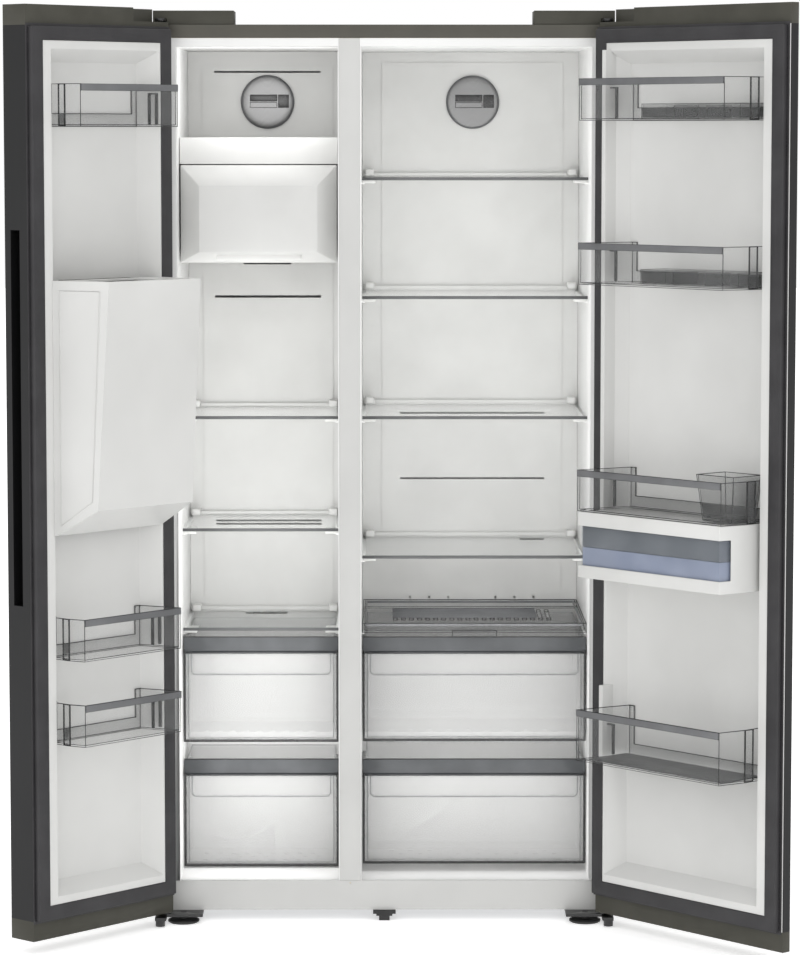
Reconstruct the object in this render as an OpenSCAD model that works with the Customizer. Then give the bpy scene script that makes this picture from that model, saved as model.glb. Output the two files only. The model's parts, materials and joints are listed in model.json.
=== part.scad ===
// Side by side refrigerator with a water and ice dispenser, doors standing open.
// Frame: X to the right, Y to the back, Z up. X = 0 is the middle of the cabinet,
// Y = 0 its front face and Z = 0 the floor.

/* [Cabinet] */
// Width over the side walls
cab_w = 908; // [850:1:1100]
// Height of the cabinet's top above the floor
cab_h = 1762; // [1700:1:2150]
// Depth of the cabinet without the doors
cab_d = 556; // [540:1:680]
// Height of the cabinet's underside above the floor
base_z = 20; // [18:1:40]
// Thickness of an insulated side wall
side_wall = 50; // [42:1:62]
// Thickness of the insulated top
top_wall = 42; // [36:1:60]
// Height of the compartment floors above the floor
floor_z = 79; // [74:1:100]
// Clear width of the freezer compartment
freezer_w = 314; // [270:1:340]
// Thickness of the wall between the compartments
mullion_w = 45; // [36:1:60]
// Thickness of the sheet steel
skin = 1.5; // [1:0.1:2]
// Thickness of the inner liners
liner_t = 3; // [2:0.5:4]

/* [Compartments] */
// Distance from the front face to the freezer's back panel
freezer_back = 435; // [420:1:450]
// Distance from the front face to the fridge's back panel
fridge_back = 480; // [470:1:490]
// Distance from the front face to the freezer's shelves
freezer_front = 130; // [120:1:150]
// Distance from the front face to the fridge's shelves
fridge_front = 88; // [84:1:120]
// Height of the rear step over the compressor space
step_z = 325; // [300:1:328]
// Distance from the front face to the rear step
step_y = 315; // [300:1:330]
// Thickness of a glass shelf
glass_t = 4; // [3:0.5:5]
// Gap between a drawer and the compartment's wall
drawer_gap = 1.8; // [1.2:0.1:3]

/* [Doors] */
// Thickness of a door without its seal
door_t = 62; // [56:1:75]
// Height of the magnetic seal, the gap between a closed door and the cabinet
seal_h = 12; // [9:1:14]
// Gap between the two closed doors
door_split = 2.6; // [2:0.2:6]
// Height of the doors' lower edge above the floor
door_z0 = 26; // [26:1:34]
// How far the doors stand above the cabinet
door_over = 29; // [27:1:36]
// Height of a door's end caps
cap_h = 38.5; // [36:0.5:48]
// Distance of the hinge axis from the door's outer edge
hinge_in = 21.6; // [21.6:0.1:26]
// Distance of the hinge axis behind the door's front face
hinge_depth = 41.1; // [36.3:0.1:41.1]
// Radius of the hinge pins
pin_r = 5; // [4:0.5:6]
// Radial clearance of the hinge pins in their bushes
pin_fit = 0.05; // [0.02:0.01:0.1]
// Angle at which the freezer door stands open
left_open = 132.3; // [90:0.1:132.3]
// Angle at which the fridge door stands open
right_open = 131.5; // [90:0.1:131.5]
// Depth of the pan pressed into a door's liner
pan_d = 38; // [30:1:42]
// Width of the magnetic seal
seal_w = 28; // [24:1:30]

/* [Door bins] */
// Reach of the freezer door's bins beyond the seal's face
left_bin_v = 49; // [35:1:60]
// Reach of the fridge door's bins beyond the seal's face
right_bin_v = 82; // [60:1:84]
// Height of a door bin
bin_h = 79; // [60:1:90]
// Wall of a door bin
bin_t = 2.5; // [2:0.5:4]
// Reach of the ice chute housing beyond the seal's face
chute_v = 120; // [100:1:122]

/* [Hidden] */

white = [0.91, 0.91, 0.90];
olive = [0.33, 0.32, 0.29];
dark = [0.17, 0.17, 0.17];
smoke = [0.55, 0.57, 0.60, 0.45];
steel = [0.62, 0.63, 0.64];
foam = [0.93, 0.88, 0.70];

// ---- places worked out from the driving sizes
half_w = cab_w / 2;
cav_top = cab_h - top_wall;
// Compartments' side to side limits
fz_x = [-half_w + side_wall, -half_w + side_wall + freezer_w];
fr_x = [fz_x[1] + mullion_w, half_w - side_wall];
mullion_x = (fz_x[1] + fr_x[0]) / 2;
cav_back = cab_d - 51;
step_wall = 42;
machine_y = step_y + liner_t + step_wall;
machine_z = step_z - liner_t - step_wall;
floor_under = floor_z - liner_t;
// Doors
split_x = mullion_x + 3.8;
left_w = half_w + split_x - door_split / 2;
right_w = half_w - split_x - door_split / 2;
door_top = cab_h + door_over;
front_r = 30;
back_bevel = 20;
// Play between a closed door's seal and the cabinet
seal_play = 0.3;
hinge_out = seal_play + seal_h + door_t - hinge_depth;
back_v = -seal_h;
front_v = -seal_h - door_t;
shell_z = [door_z0 + cap_h, door_top - cap_h];
// Seal's outline on each door, side to side, and both doors' seal height
left_seal_u = [22, left_w - 5];
right_seal_u = [20, right_w - 8.8];
seal_z = [shell_z[0], shell_z[1] - 1.5];
// The liner's raised rim inside the seal, and the pan sunk into it
rim_v = -2;
rim_side = 4;
rim_free = 21;
rim_end = 14;
pan_slope = 27;
// Widths of the pocket grips
grip_w = 48;
grip_v = -31;
grip_z = [665, 1372];
grip_wall = 2;
// Shelves and drawers, heights of the top faces
freezer_shelf_z = [990, 765, 565];
fridge_shelf_z = [1465, 1231, 993, 715];
fz_up_z = [336.5, 547.5];
fz_low_z = [83.7, 300];
fr_up_z = [345, 553];
fr_low_z = [97, 307];
tray_z = [562, 580];
lower_back = step_y - 12;
// Drop of a drawer's side lips below its rim, and their play over the rails
lip_down = 23.5;
slide_gap = 0.3;
// Ice maker and bucket hang from the compartment's top
bucket_z = [cav_top - 422, cav_top - 230];
maker_z = [bucket_z[1] + 2, cav_top - 176];
bucket_front = 50;
bucket_bevel = 40;
// Fans
fan_r = 53;
fan_z = cav_top - 103.5;
fz_fan_x = (fz_x[0] + fz_x[1]) / 2 + 7.3;
fr_fan_x = (fr_x[0] + fr_x[1]) / 2 + 4;
// Ice chute and dispenser in the freezer door
chute_z = [bucket_z[0] - 450, bucket_z[0] - 21];
chute_u = [66, left_w - 83];
niche_u = [106, 284];
niche_z = [chute_z[0] + 160, chute_z[0] + 425];
niche_back = front_v + 60;
niche_wall = 3;
// Bins
left_bin_z = [cav_top - 155, 559, 396];
right_bin_z = [cav_top - 143.5, cav_top - 455.5, 829, 343];
deep_bin_h = 99;
holder_z = [701, 828];

// ---- helpers
// A box given by its limits
module slab(x, y, z) {
  translate([x[0], y[0], z[0]])
    cube([x[1] - x[0], y[1] - y[0], z[1] - z[0]]);
}

// Round bars along each axis, from a point
module bar_x(p, r, l) {
  translate(p)
    rotate([0, 90, 0])
      cylinder(r = r, h = l, $fn = 48);
}

module bar_y(p, r, l) {
  translate(p)
    rotate([-90, 0, 0])
      cylinder(r = r, h = l, $fn = 48);
}

module bar_z(p, r, l) {
  translate(p)
    cylinder(r = r, h = l, $fn = 64);
}

// A solid between two rectangles, low at z0 and high at z1, each [x0, x1, y0, y1]
module wedge(low, high, z0, z1) {
  polyhedron(
    points = [
      [low[0], low[2], z0], [low[1], low[2], z0], [low[1], low[3], z0], [low[0], low[3], z0],
      [high[0], high[2], z1], [high[1], high[2], z1], [high[1], high[3], z1], [high[0], high[3], z1]
    ],
    faces = [
      [0, 1, 2, 3], [7, 6, 5, 4], [0, 4, 5, 1], [1, 5, 6, 2], [2, 6, 7, 3], [3, 7, 4, 0]
    ]
  );
}

// Carries a door's parts, drawn as [u from the outer edge, v from the seal's face towards
// the cabinet, z], to the door's open place
module on_left_door() {
  translate([-half_w + hinge_in, -hinge_out, 0])
    rotate([0, 0, -left_open])
      translate([-hinge_in, hinge_out - seal_play, 0])
        children();
}

module on_right_door() {
  mirror([1, 0, 0])
    translate([-half_w + hinge_in, -hinge_out, 0])
      rotate([0, 0, -right_open])
        translate([-hinge_in, hinge_out - seal_play, 0])
          children();
}

// ---- cabinet
// Wrapped steel shell: two sides and the top, with a turned-in front lip
module outer_shell() {
  color(olive) {
    difference() {
      slab([-half_w, half_w], [0, cab_d], [base_z, cab_h]);
      slab([-half_w + skin, half_w - skin], [-1, cab_d + 1], [base_z - 1, cab_h - skin]);
    }
    slab([-half_w + skin, half_w - skin], [0, skin], [cav_top + 16.5, cab_h - skin]);
    for (s = [-1, 1])
      translate([s * (half_w - 7.5 - skin / 2), skin / 2, (base_z + cav_top + 16.5) / 2])
        cube([15 - skin, skin, cav_top + 16.5 - base_z], center = true);
  }
}

// Steel sheet that closes the insulated back
module rear_panel() {
  color(steel)
    slab([-half_w + skin, half_w - skin], [cab_d - skin, cab_d], [machine_z, cab_h - skin]);
}

// Envelope of a liner with its rear step
module liner_envelope(x, grow) {
  difference() {
    slab([x[0] - grow, x[1] + grow], [liner_t - grow, cav_back + grow],
         [floor_z - grow, cav_top + grow]);
    slab([x[0] - grow - 1, x[1] + grow + 1], [step_y + grow, cav_back + grow + 1],
         [floor_z - grow - 1, step_z - grow]);
  }
}

// Foamed-in insulation between the shell and the liners
module cabinet_foam() {
  color(foam)
    difference() {
      slab([-half_w + skin, half_w - skin], [liner_t, cab_d - skin], [base_z + 3, cab_h - skin]);
      translate([0, -1, 0])
        liner_envelope(fz_x, liner_t);
      liner_envelope(fz_x, liner_t);
      translate([0, -1, 0])
        liner_envelope(fr_x, liner_t);
      liner_envelope(fr_x, liner_t);
      slab([-half_w, half_w], [machine_y, cab_d], [base_z, machine_z]);
    }
}

// One compartment's liner: a stepped tub with a front flange and shelf ledges
module liner(x, flange_x, shelf_z, shelf_y, ledge_back) {
  difference() {
    union() {
      intersection() {
        liner_envelope(x, liner_t);
        slab([x[0] - liner_t, x[1] + liner_t], [liner_t, cab_d], [floor_under, cav_top + liner_t]);
      }
      slab(flange_x, [0, liner_t], [floor_z - 0.5, cav_top + 16]);
    }
    slab(x, [-1, step_y], [floor_z, cav_top]);
    slab(x, [-1, cav_back], [step_z, cav_top]);
  }
  for (z = shelf_z) {
    slab([x[0], x[0] + 7], [shelf_y + 14, ledge_back], [z - glass_t - 9, z - glass_t]);
    slab([x[1] - 7, x[1]], [shelf_y + 14, ledge_back], [z - glass_t - 9, z - glass_t]);
  }
}

// Rails that carry the drawers' side lips
module drawer_rails(x, y, z) {
  for (s = [[x[0], x[0] + 5], [x[1] - 5, x[1]]])
    slab(s, y, [z - 6, z]);
}

module freezer_liner() {
  color(white) {
    liner(fz_x, [-half_w + 15, fz_x[1] + 2], freezer_shelf_z, freezer_front, freezer_back);
    drawer_rails(fz_x, [freezer_front + 20, freezer_back], fz_up_z[1] - lip_down - slide_gap);
    drawer_rails(fz_x, [freezer_front + 20, step_y], fz_low_z[1] - lip_down - slide_gap);
  }
}

module fridge_liner() {
  color(white) {
    liner(fr_x, [fr_x[0] - 2, half_w - 15], fridge_shelf_z, fridge_front, fridge_back);
    drawer_rails(fr_x, [fridge_front + 20, fridge_back], fr_up_z[1] - lip_down - slide_gap);
    drawer_rails(fr_x, [fridge_front + 20, step_y], fr_low_z[1] - lip_down - slide_gap);
    drawer_rails(fr_x, [fridge_front + 20, fridge_back], tray_z[0] - slide_gap);
  }
}

// Strip between the compartments that both seals close on
module mullion_cover() {
  color(white)
    slab([fz_x[1] + 2, fr_x[0] - 2], [0, liner_t], [floor_z - 0.5, cav_top + 16]);
}

// White panel under the doors' seals
module toe_panel() {
  color(white)
    difference() {
      slab([-half_w + 15, half_w - 15], [0, liner_t], [base_z, floor_z - 0.5]);
      for (x = [mullion_x])
        bar_y([x, -1, floor_z - 5], 1.5, liner_t + 2);
    }
}

roller_r = 14;
roller_w = 20;
roller_x = half_w - 60;
roller_y = cab_d - 46;
axle_r = 4;

// Steel base pan with the rear roller forks and their axles
module base_frame() {
  color(steel) {
    difference() {
      slab([-half_w + skin, half_w - skin], [liner_t, cab_d - 3], [base_z, base_z + 3]);
      for (s = [-1, 1])
        translate([s * roller_x, roller_y, base_z])
          cube([roller_w + 6, 2 * roller_r + 6, 10], center = true);
      for (x = [-280, -200, -120, 120, 200])
        translate([x, machine_y + 90, base_z])
          cube([44, 60, 10], center = true);
    }
    for (s = [-1, 1])
      for (o = [-1, 1])
        translate([s * roller_x + o * (roller_w / 2 + 4.5), roller_y, (base_z + 7) / 2])
          cube([3, 24, base_z - 6.9], center = true);
    for (s = [-1, 1])
      bar_x([s * roller_x - roller_w / 2 - 6, roller_y, roller_r], axle_r, roller_w + 12);
  }
}

// Two rear rollers on the axles
module rear_rollers() {
  color(dark)
    for (s = [-1, 1])
      difference() {
        bar_x([s * roller_x - roller_w / 2, roller_y, roller_r], roller_r, roller_w);
        bar_x([s * roller_x - roller_w, roller_y, roller_r], axle_r + pin_fit, 2 * roller_w);
      }
}

// A back panel with a raised middle field
module back_panel(x, y, z, field_x, field_top) {
  slab(x, [y + 2, y + 6], z);
  slab(field_x, [y, y + 2], [z[0], field_top]);
}

slot_h = 5;

module slot(x, y, z, h) {
  slab(x, [y - 2, y + 8], [z - h / 2, z + h / 2]);
}

// Freezer's back panel, with air slots and the fan's opening
module freezer_back_panel() {
  f = [fz_x[0] + 29.8, fz_x[1] - 15.3];
  s = [f[0] + 24.7, f[1] - 25];
  color(white)
    difference() {
      back_panel([fz_x[0] + 0.5, fz_x[1] - 0.5], freezer_back, [step_z + 0.5, cav_top - 0.5],
                 f, cav_top - 31);
      slot(s, freezer_back, cav_top - 42, 4);
      slot(s, freezer_back, cav_top - 504, slot_h);
      slot([-291, -192], freezer_back, bucket_z[0] - 14, 3);
      slot(s, freezer_back, freezer_shelf_z[1] - 15, 4);
      slot(s, freezer_back, freezer_shelf_z[1] - 22, 4);
      slot([-288, -202], freezer_back, freezer_shelf_z[2] - 9, 4);
      bar_y([fz_fan_x, freezer_back - 2, fan_z], fan_r - 6, 10);
    }
}

// Fridge's back panel and air duct cover
module fridge_back_panel() {
  f = [fr_x[0] + 40.3, fr_x[1] - 33.2];
  s = [f[0] + 38, f[1] - 36.5];
  color(white)
    difference() {
      back_panel([fr_x[0] + 0.5, fr_x[1] - 0.5], fridge_back, [step_z + 0.5, cav_top - 0.5],
                 f, cav_top - 22);
      slot(s, fridge_back, fridge_shelf_z[2] - 22, 4);
      slot(s, fridge_back, fridge_shelf_z[2] - 159, 4);
      slot([s[1] - 50, s[1]], fridge_back, fridge_shelf_z[3] - 9, 4);
      for (i = [0:2])
        for (x0 = [s[0] + 21, s[1] - 101])
          bar_y([x0 + 40 * i, fridge_back - 2, tray_z[1] + 3.5], 2.5, 10);
      bar_y([fr_fan_x, fridge_back - 2, fan_z], fan_r - 6, 10);
    }
}

// Domed covers over the two air fans, each a ring with a disc
module fan_covers() {
  color(steel)
    for (c = [[fz_fan_x, freezer_back], [fr_fan_x, fridge_back]])
      translate([c[0], c[1], fan_z])
        rotate([90, 0, 0])
          rotate_extrude($fn = 96)
            polygon([
              [0, 8], [fan_r - 16, 8], [fan_r - 12, 7], [fan_r - 8, 9], [fan_r - 1, 9],
              [fan_r + 2, 6], [fan_r + 2, 0], [fan_r - 4, 0], [fan_r - 4, 4], [0, 4]
            ]);
}

// ---- shelves
module glass_shelf(x, y, z) {
  color([0.80, 0.86, 0.86, 0.35])
    slab([x[0] + 1.5, x[1] - 1.5], y, [z - glass_t, z]);
}

module freezer_shelf(i) {
  glass_shelf(fz_x, [freezer_front + 4, freezer_back - 8], freezer_shelf_z[i]);
}

module fridge_shelf(i) {
  glass_shelf(fr_x, [fridge_front + 4, fridge_back - 8], fridge_shelf_z[i]);
}

// Front and rear edge strips of every glass shelf
module shelf_trim(x, y, z) {
  slab([x[0] + 1.5, x[1] - 1.5], [y[0], y[0] + 4], [z - glass_t - 1, z + 1]);
  slab([x[0] + 1.5, x[1] - 1.5], [y[1] - 8, y[1] - 4], [z - glass_t, z + 6]);
}

module shelf_trims() {
  color(steel) {
    for (z = freezer_shelf_z)
      shelf_trim(fz_x, [freezer_front, freezer_back], z);
    for (z = fridge_shelf_z)
      shelf_trim(fr_x, [fridge_front, fridge_back], z);
  }
}

// ---- ice maker
// Fixed ice maker above the bucket, with its front cover
module ice_maker() {
  x = [fz_x[0] + 1.5, fz_x[1] - 1.5];
  color(white)
    difference() {
      slab(x, [bucket_front + bucket_bevel, freezer_back], maker_z);
      slab([x[0] + 3, x[1] - 3], [bucket_front + bucket_bevel + 3, freezer_back + 1],
           [maker_z[0] - 1, maker_z[1] - 3]);
    }
  color(steel) {
    slab([x[0] + 40, x[1] - 40], [190, 400], [maker_z[0] + 10, maker_z[1] - 3]);
    slab([x[0] + 3, x[0] + 40], [160, 330], [maker_z[0] + 6, maker_z[1] - 3]);
  }
}

// Pull-out ice bucket with a bevelled front and an outlet over the door's chute
module ice_bucket() {
  x = [fz_x[0] + 3, fz_x[1] - 3];
  face_y = bucket_front + bucket_bevel;
  color(white)
    difference() {
      union() {
        slab([x[0] + 3, x[1] - 3], [face_y, freezer_back - 12], bucket_z);
        slab(x, [face_y, face_y + 8], bucket_z);
        translate([0, face_y, bucket_z[0]])
          rotate([90, 0, 0])
            wedge([x[0], x[1], 0, bucket_z[1] - bucket_z[0]],
                  [x[0] + 38, x[1] - 38, 22, bucket_z[1] - bucket_z[0] - 40], 0, bucket_bevel);
      }
      slab([x[0] + 6, x[1] - 6], [face_y + 4, freezer_back - 15], [bucket_z[0] + 3, bucket_z[1] + 1]);
      slab([x[0] + 70, x[1] - 70], [bucket_front - 1, bucket_front + 30],
           [bucket_z[0] - 1, bucket_z[0] + 16]);
      slab([-264, -184], [face_y + 6, face_y + 50], [bucket_z[0] - 1, bucket_z[0] + 5]);
    }
}

// ---- drawers
// An open drawer with side lips, a full-width front and a grip strip
module drawer(x, y, z) {
  w = [x[0] + drawer_gap, x[1] - drawer_gap];
  difference() {
    union() {
      slab([w[0] + 7, w[1] - 7], [y[0], y[1]], z);
      slab(w, [y[0], y[0] + 6], z);
      slab(w, [y[0], y[1]], [z[1] - lip_down, z[1] - lip_down + 3.5]);
      slab([w[0], w[1]], [y[0] - 4, y[0]], [z[1] - 28, z[1]]);
    }
    slab([w[0] + 9.5, w[1] - 9.5], [y[0] + 3, y[1] - 2.5], [z[0] + 3, z[1] + 1]);
  }
}

module freezer_drawer_upper() {
  color(smoke)
    drawer(fz_x, [freezer_front, freezer_back - 14], fz_up_z);
}

module freezer_drawer_lower() {
  color(smoke)
    drawer(fz_x, [freezer_front, lower_back], fz_low_z);
}

module fridge_drawer_upper() {
  color(smoke)
    drawer(fr_x, [fridge_front, fridge_back - 14], fr_up_z);
}

module fridge_drawer_lower() {
  color(smoke)
    drawer(fr_x, [fridge_front, lower_back], fr_low_z);
}

// Shallow pull-out tray with a slotted floor and a finger grip
module chill_tray() {
  w = [fr_x[0] + drawer_gap, fr_x[1] - drawer_gap];
  y = [fridge_front, fridge_back - 14];
  mid = (w[0] + w[1]) / 2;
  color(smoke)
    difference() {
      union() {
        slab(w, y, tray_z);
        slab([mid - 44, mid + 44], [y[0] - 10, y[0]], [tray_z[0] - 8, tray_z[0] + 4]);
      }
      slab([w[0] + 4, w[1] - 4], [y[0] + 4, y[1] - 4], [tray_z[0] + 4, tray_z[1] + 1]);
      for (i = [0:19])
        slab([w[0] + 62 + 16.5 * i, w[0] + 70 + 16.5 * i], [y[1] - 190, y[1] - 60],
             [tray_z[0] - 1, tray_z[0] + 5]);
    }
}

// ---- hinges and feet
pin_x = half_w - hinge_in;
pin_y = -hinge_out;
arm_r = 10;
arm_z = [cab_h + 6, cab_h + 11];
plate_z = [base_z - 6, base_z];
foot_x = half_w - 57.5;
foot_y = -18;
foot_stem_r = 6;
post_y = -66;

// Upper hinge arms and lower hinge plates, each with its pin
module hinge_brackets() {
  color(steel)
    for (s = [0, 1])
      mirror([s, 0, 0]) {
        // upper arm: foot plate on the cabinet, arm over the door, pin down into the cap
        slab([-pin_x - arm_r, -pin_x + 100], [14, 74], [cab_h, cab_h + 6]);
        slab([-pin_x - arm_r, -pin_x + arm_r], [pin_y, 74], arm_z);
        bar_z([-pin_x, pin_y, arm_z[0]], arm_r, arm_z[1] - arm_z[0]);
        bar_z([-pin_x, pin_y, shell_z[1] + 1.5], pin_r, arm_z[0] - shell_z[1] - 1.5);
        // lower plate: under the base, forward to the pin, with the stop post
        difference() {
          union() {
            slab([-half_w + 4, -half_w + 96], [pin_y - 8, 70], plate_z);
            slab([-half_w + 4, -half_w + 26], [post_y - 11, pin_y], plate_z);
          }
          bar_z([-foot_x, foot_y, plate_z[0] - 1], foot_stem_r + pin_fit, 10);
        }
        bar_z([-half_w + 14, post_y, 2], 9.5, plate_z[0] - 2);
        bar_z([-pin_x, pin_y, plate_z[1]], pin_r + 4, door_z0 - plate_z[1] - 1);
        bar_z([-pin_x, pin_y, plate_z[1]], pin_r, door_z0 - plate_z[1] + 20);
      }
}

// Plastic covers over the upper hinges
module hinge_covers() {
  color(olive)
    for (s = [0, 1])
      mirror([s, 0, 0])
        difference() {
          slab([-half_w + 6, -half_w + 163], [2, 92], [cab_h, cab_h + 27]);
          slab([-half_w + 8.5, -half_w + 160.5], [4.5, 89.5], [cab_h - 1, cab_h + 24.5]);
          slab([-pin_x - arm_r - 1, -pin_x + arm_r + 1], [0, 6], [cab_h - 1, arm_z[1] + 1]);
        }
}

// A levelling foot: disc, hexagon and threaded stem
module level_foot() {
  color(dark) {
    rotate_extrude($fn = 96)
      polygon([[0, 0], [28, 0], [31, 2], [31, 5], [26, 7], [0, 7]]);
    bar_z([0, 0, 7], 10, 5);
    bar_z([0, 0, 12], foot_stem_r, plate_z[1] - 12.5);
  }
}

module front_foot_left() {
  translate([-foot_x, foot_y, 0])
    level_foot();
}

module front_foot_right() {
  translate([foot_x, foot_y, 0])
    level_foot();
}

// Middle support foot under the front edge
module centre_foot() {
  color(dark)
    union() {
      slab([-22.5, 22.5], [-8, 26], [base_z - 7, base_z]);
      slab([-16, 16], [-8, 26], [base_z - 11, base_z - 7]);
      slab([-10.5, 10.5], [-8, 26], [0, base_z - 11]);
    }
}

// ---- machine compartment
comp_x = 250;
comp_y = machine_y + 92;

// Hermetic compressor on its rubber feet
module compressor() {
  color(dark) {
    translate([comp_x, comp_y, base_z + 18])
      rotate_extrude($fn = 96)
        polygon([
          [0, 0], [52, 0], [72, 12], [80, 34], [80, 66], [83, 66], [83, 74], [80, 74],
          [76, 112], [58, 138], [28, 148], [0, 150]
        ]);
    slab([comp_x - 98, comp_x + 98], [comp_y - 50, comp_y + 50], [base_z + 14, base_z + 18]);
    for (x = [-84, 84])
      for (y = [-38, 38])
        bar_z([comp_x + x, comp_y + y, base_z + 3], 12, 11);
    bar_z([comp_x - 40, comp_y - 30, base_z + 140], 5, 50);
  }
}

cond_x = [-300, -110];
cond_y = [machine_y + 22, cab_d - 34];
cond_z = [base_z + 52, machine_z - 44];
fan_hub_x = -60;
cond_fan_z = base_z + 120;
cond_fan_y = (cond_y[0] + cond_y[1]) / 2;
shaft_r = 3;

// Condenser coil with its fins, the fan's ring and its motor
module condenser() {
  color([0.12, 0.12, 0.12]) {
    for (i = [0:9])
      slab([cond_x[0] + 10 + 18.5 * i, cond_x[0] + 11.5 + 18.5 * i], cond_y,
           [i % 9 == 0 ? base_z + 5.5 : cond_z[0], cond_z[1]]);
    for (y = [cond_y[0] + 30, cond_y[1] - 30])
      for (z = [0:4])
        bar_x([cond_x[0], y, cond_z[0] + 14 + 25 * z], 4, cond_x[1] - cond_x[0]);
    difference() {
      slab([fan_hub_x - 12, fan_hub_x + 12], [cond_fan_y - 64, cond_fan_y + 64],
           [base_z + 3, cond_fan_z + 64]);
      bar_x([fan_hub_x - 20, cond_fan_y, cond_fan_z], 60, 40);
      slab([fan_hub_x - 20, fan_hub_x + 20], [cond_fan_y - 50, cond_fan_y + 50],
           [base_z, cond_fan_z - 70]);
    }
  }
  color(steel) {
    bar_x([fan_hub_x + 20, cond_fan_y, cond_fan_z], 22, 34);
    bar_x([fan_hub_x - 6, cond_fan_y, cond_fan_z], shaft_r, 27);
    for (y = [-1, 1])
      slab([fan_hub_x + 9, fan_hub_x + 30], [cond_fan_y + y * 42 - 22, cond_fan_y + y * 42 + 22],
           [cond_fan_z - 3, cond_fan_z + 3]);
  }
}

// A fan rotor along +X: hub with a bore and flat blades
module rotor(r, blades, bore) {
  difference() {
    union() {
      bar_x([-10, 0, 0], r / 3.4, 16);
      for (i = [0:blades - 1])
        rotate([i * 360 / blades, 0, 0])
          translate([-2, 0, r / 3.4 - 3])
            rotate([0, 0, 28])
              translate([-1.2, -r * 0.14, 0])
                cube([2.4, r * 0.28, r * 0.68]);
    }
    bar_x([-7, 0, 0], bore, 20);
  }
}

module condenser_fan() {
  color(dark)
    translate([fan_hub_x, cond_fan_y, cond_fan_z])
      rotor(54, 5, shaft_r + pin_fit);
}

// Tray under the condenser that defrost water evaporates from
module drain_pan() {
  color(dark)
    difference() {
      slab([cond_x[0] - 12, cond_x[1] + 12], [cond_y[0] - 6, cond_y[1] + 6],
           [base_z + 3, base_z + 40]);
      slab([cond_x[0] - 9.5, cond_x[1] + 9.5], [cond_y[0] - 3.5, cond_y[1] + 3.5],
           [base_z + 5.5, base_z + 41]);
    }
}

// Case of the control electronics
module control_box() {
  color(dark)
    slab([40, 140], [cond_y[0], cond_y[0] + 60], [base_z + 40, base_z + 190]);
}

// Louvred cover over the machine compartment
module machine_cover() {
  color(steel)
    difference() {
      slab([-half_w + skin, half_w - skin], [cab_d - skin - 1.5, cab_d - skin],
           [base_z, machine_z]);
      for (i = [0:8])
        for (x = [-330, 130])
          slab([x, x + 200], [cab_d - 20, cab_d + 1],
               [base_z + 34 + 24 * i, base_z + 44 + 24 * i]);
      slab([-40, 10], [cab_d - 20, cab_d + 1], [base_z + 56, base_z + 84]);
    }
}

// Appliance inlet in the rear cover
module power_inlet() {
  color(dark)
    difference() {
      slab([-40, 10], [cab_d - 30, cab_d], [base_z + 56, base_z + 84]);
      slab([-35, 5], [cab_d - 22, cab_d + 1], [base_z + 60, base_z + 80]);
    }
}

evap_y = [freezer_back + 12, cav_back - 8];
evap_z = [step_z + 60, step_z + 360];
fin_last = 13;

// Finned evaporator behind the freezer's back panel, and the air fan's motor
module evaporator() {
  w = [fz_x[0] + 24, fz_x[1] - 24];
  fin_t = 1.2;
  pitch = (w[1] - w[0] - 20 - fin_t) / fin_last;
  color(steel) {
    for (i = [0:fin_last])
      slab([w[0] + 10 + pitch * i, w[0] + 10 + fin_t + pitch * i],
           [evap_y[0], i % fin_last == 0 ? cav_back : evap_y[1]], evap_z);
    for (y = [evap_y[0] + 12, evap_y[1] - 12])
      for (z = [0:6])
        bar_x([w[0], y, evap_z[0] + 20 + 43 * z], 4, w[1] - w[0]);
    bar_y([fz_fan_x, freezer_back + 38, fan_z], 20, cav_back - freezer_back - 38);
    bar_y([fz_fan_x, freezer_back + 14, fan_z], shaft_r, 26);
  }
}

module evaporator_fan() {
  color(dark)
    translate([fz_fan_x, freezer_back + 20, fan_z])
      rotate([0, 0, 90])
        rotor(44, 5, shaft_r + pin_fit);
}

// ---- doors
// Cross section of a door, from its outer edge, with a round outer front edge and a
// bevelled outer back edge that clear the cabinet as the door swings
module door_section(w, inset, over) {
  front = front_v + inset;
  edge_v = back_v - back_bevel - inset * 0.414;
  polygon([
    [front_r, front], [w - inset, front], [w - inset, back_v + over],
    [back_bevel + inset * 1.414 + over, back_v + over], [inset, edge_v], [inset, front_v + front_r],
    [front_r, front_v + front_r]
  ]);
  intersection() {
    translate([front_r, front_v + front_r])
      circle(r = front_r - inset, $fn = 96);
    translate([inset, front])
      square([front_r - inset, front_r - inset]);
  }
}

module door_block(w, inset, over, z) {
  translate([0, 0, z[0]])
    linear_extrude(height = z[1] - z[0])
      door_section(w, inset, over);
}

// Space inside a seal frame
module seal_window(u, v, grow) {
  slab([u[0] + seal_w - grow, u[1] - seal_w - 1 + grow], v,
       [seal_z[0] + seal_w - 1 - grow, seal_z[1] - seal_w + 2 + grow]);
}

// Hollow that the pan makes in the liner's rim, its hinge side leaning furthest
module pan_hollow(u, grow) {
  x = [u[0] + seal_w + rim_side, u[1] - seal_w - 1 - rim_free];
  z = [seal_z[0] + seal_w + rim_end, seal_z[1] - seal_w - rim_end];
  rotate([90, 0, 0])
    wedge([x[0] - grow, x[1] + grow, z[0] - grow, z[1] + grow],
          [x[0] + pan_slope - grow, x[1] - 8 + grow, z[0] + 24 - grow, z[1] - 24 + grow],
          -rim_v, pan_d + grow);
}

// Moulded inner liner of a door: flange under the seal, raised rim and deep pan
module door_liner(w, u) {
  difference() {
    union() {
      slab([back_bevel + 3, w - skin], [back_v - liner_t, back_v], shell_z);
      seal_window(u, [back_v - liner_t, rim_v], -0.5);
      pan_hollow(u, liner_t);
    }
    pan_hollow(u, 0);
    difference() {
      seal_window(u, [back_v - liner_t - 1, rim_v - liner_t], -0.5 - liner_t);
      pan_hollow(u, liner_t);
      slab([0, w], [back_v - liner_t - 2, back_v - liner_t], shell_z);
    }
  }
}

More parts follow.
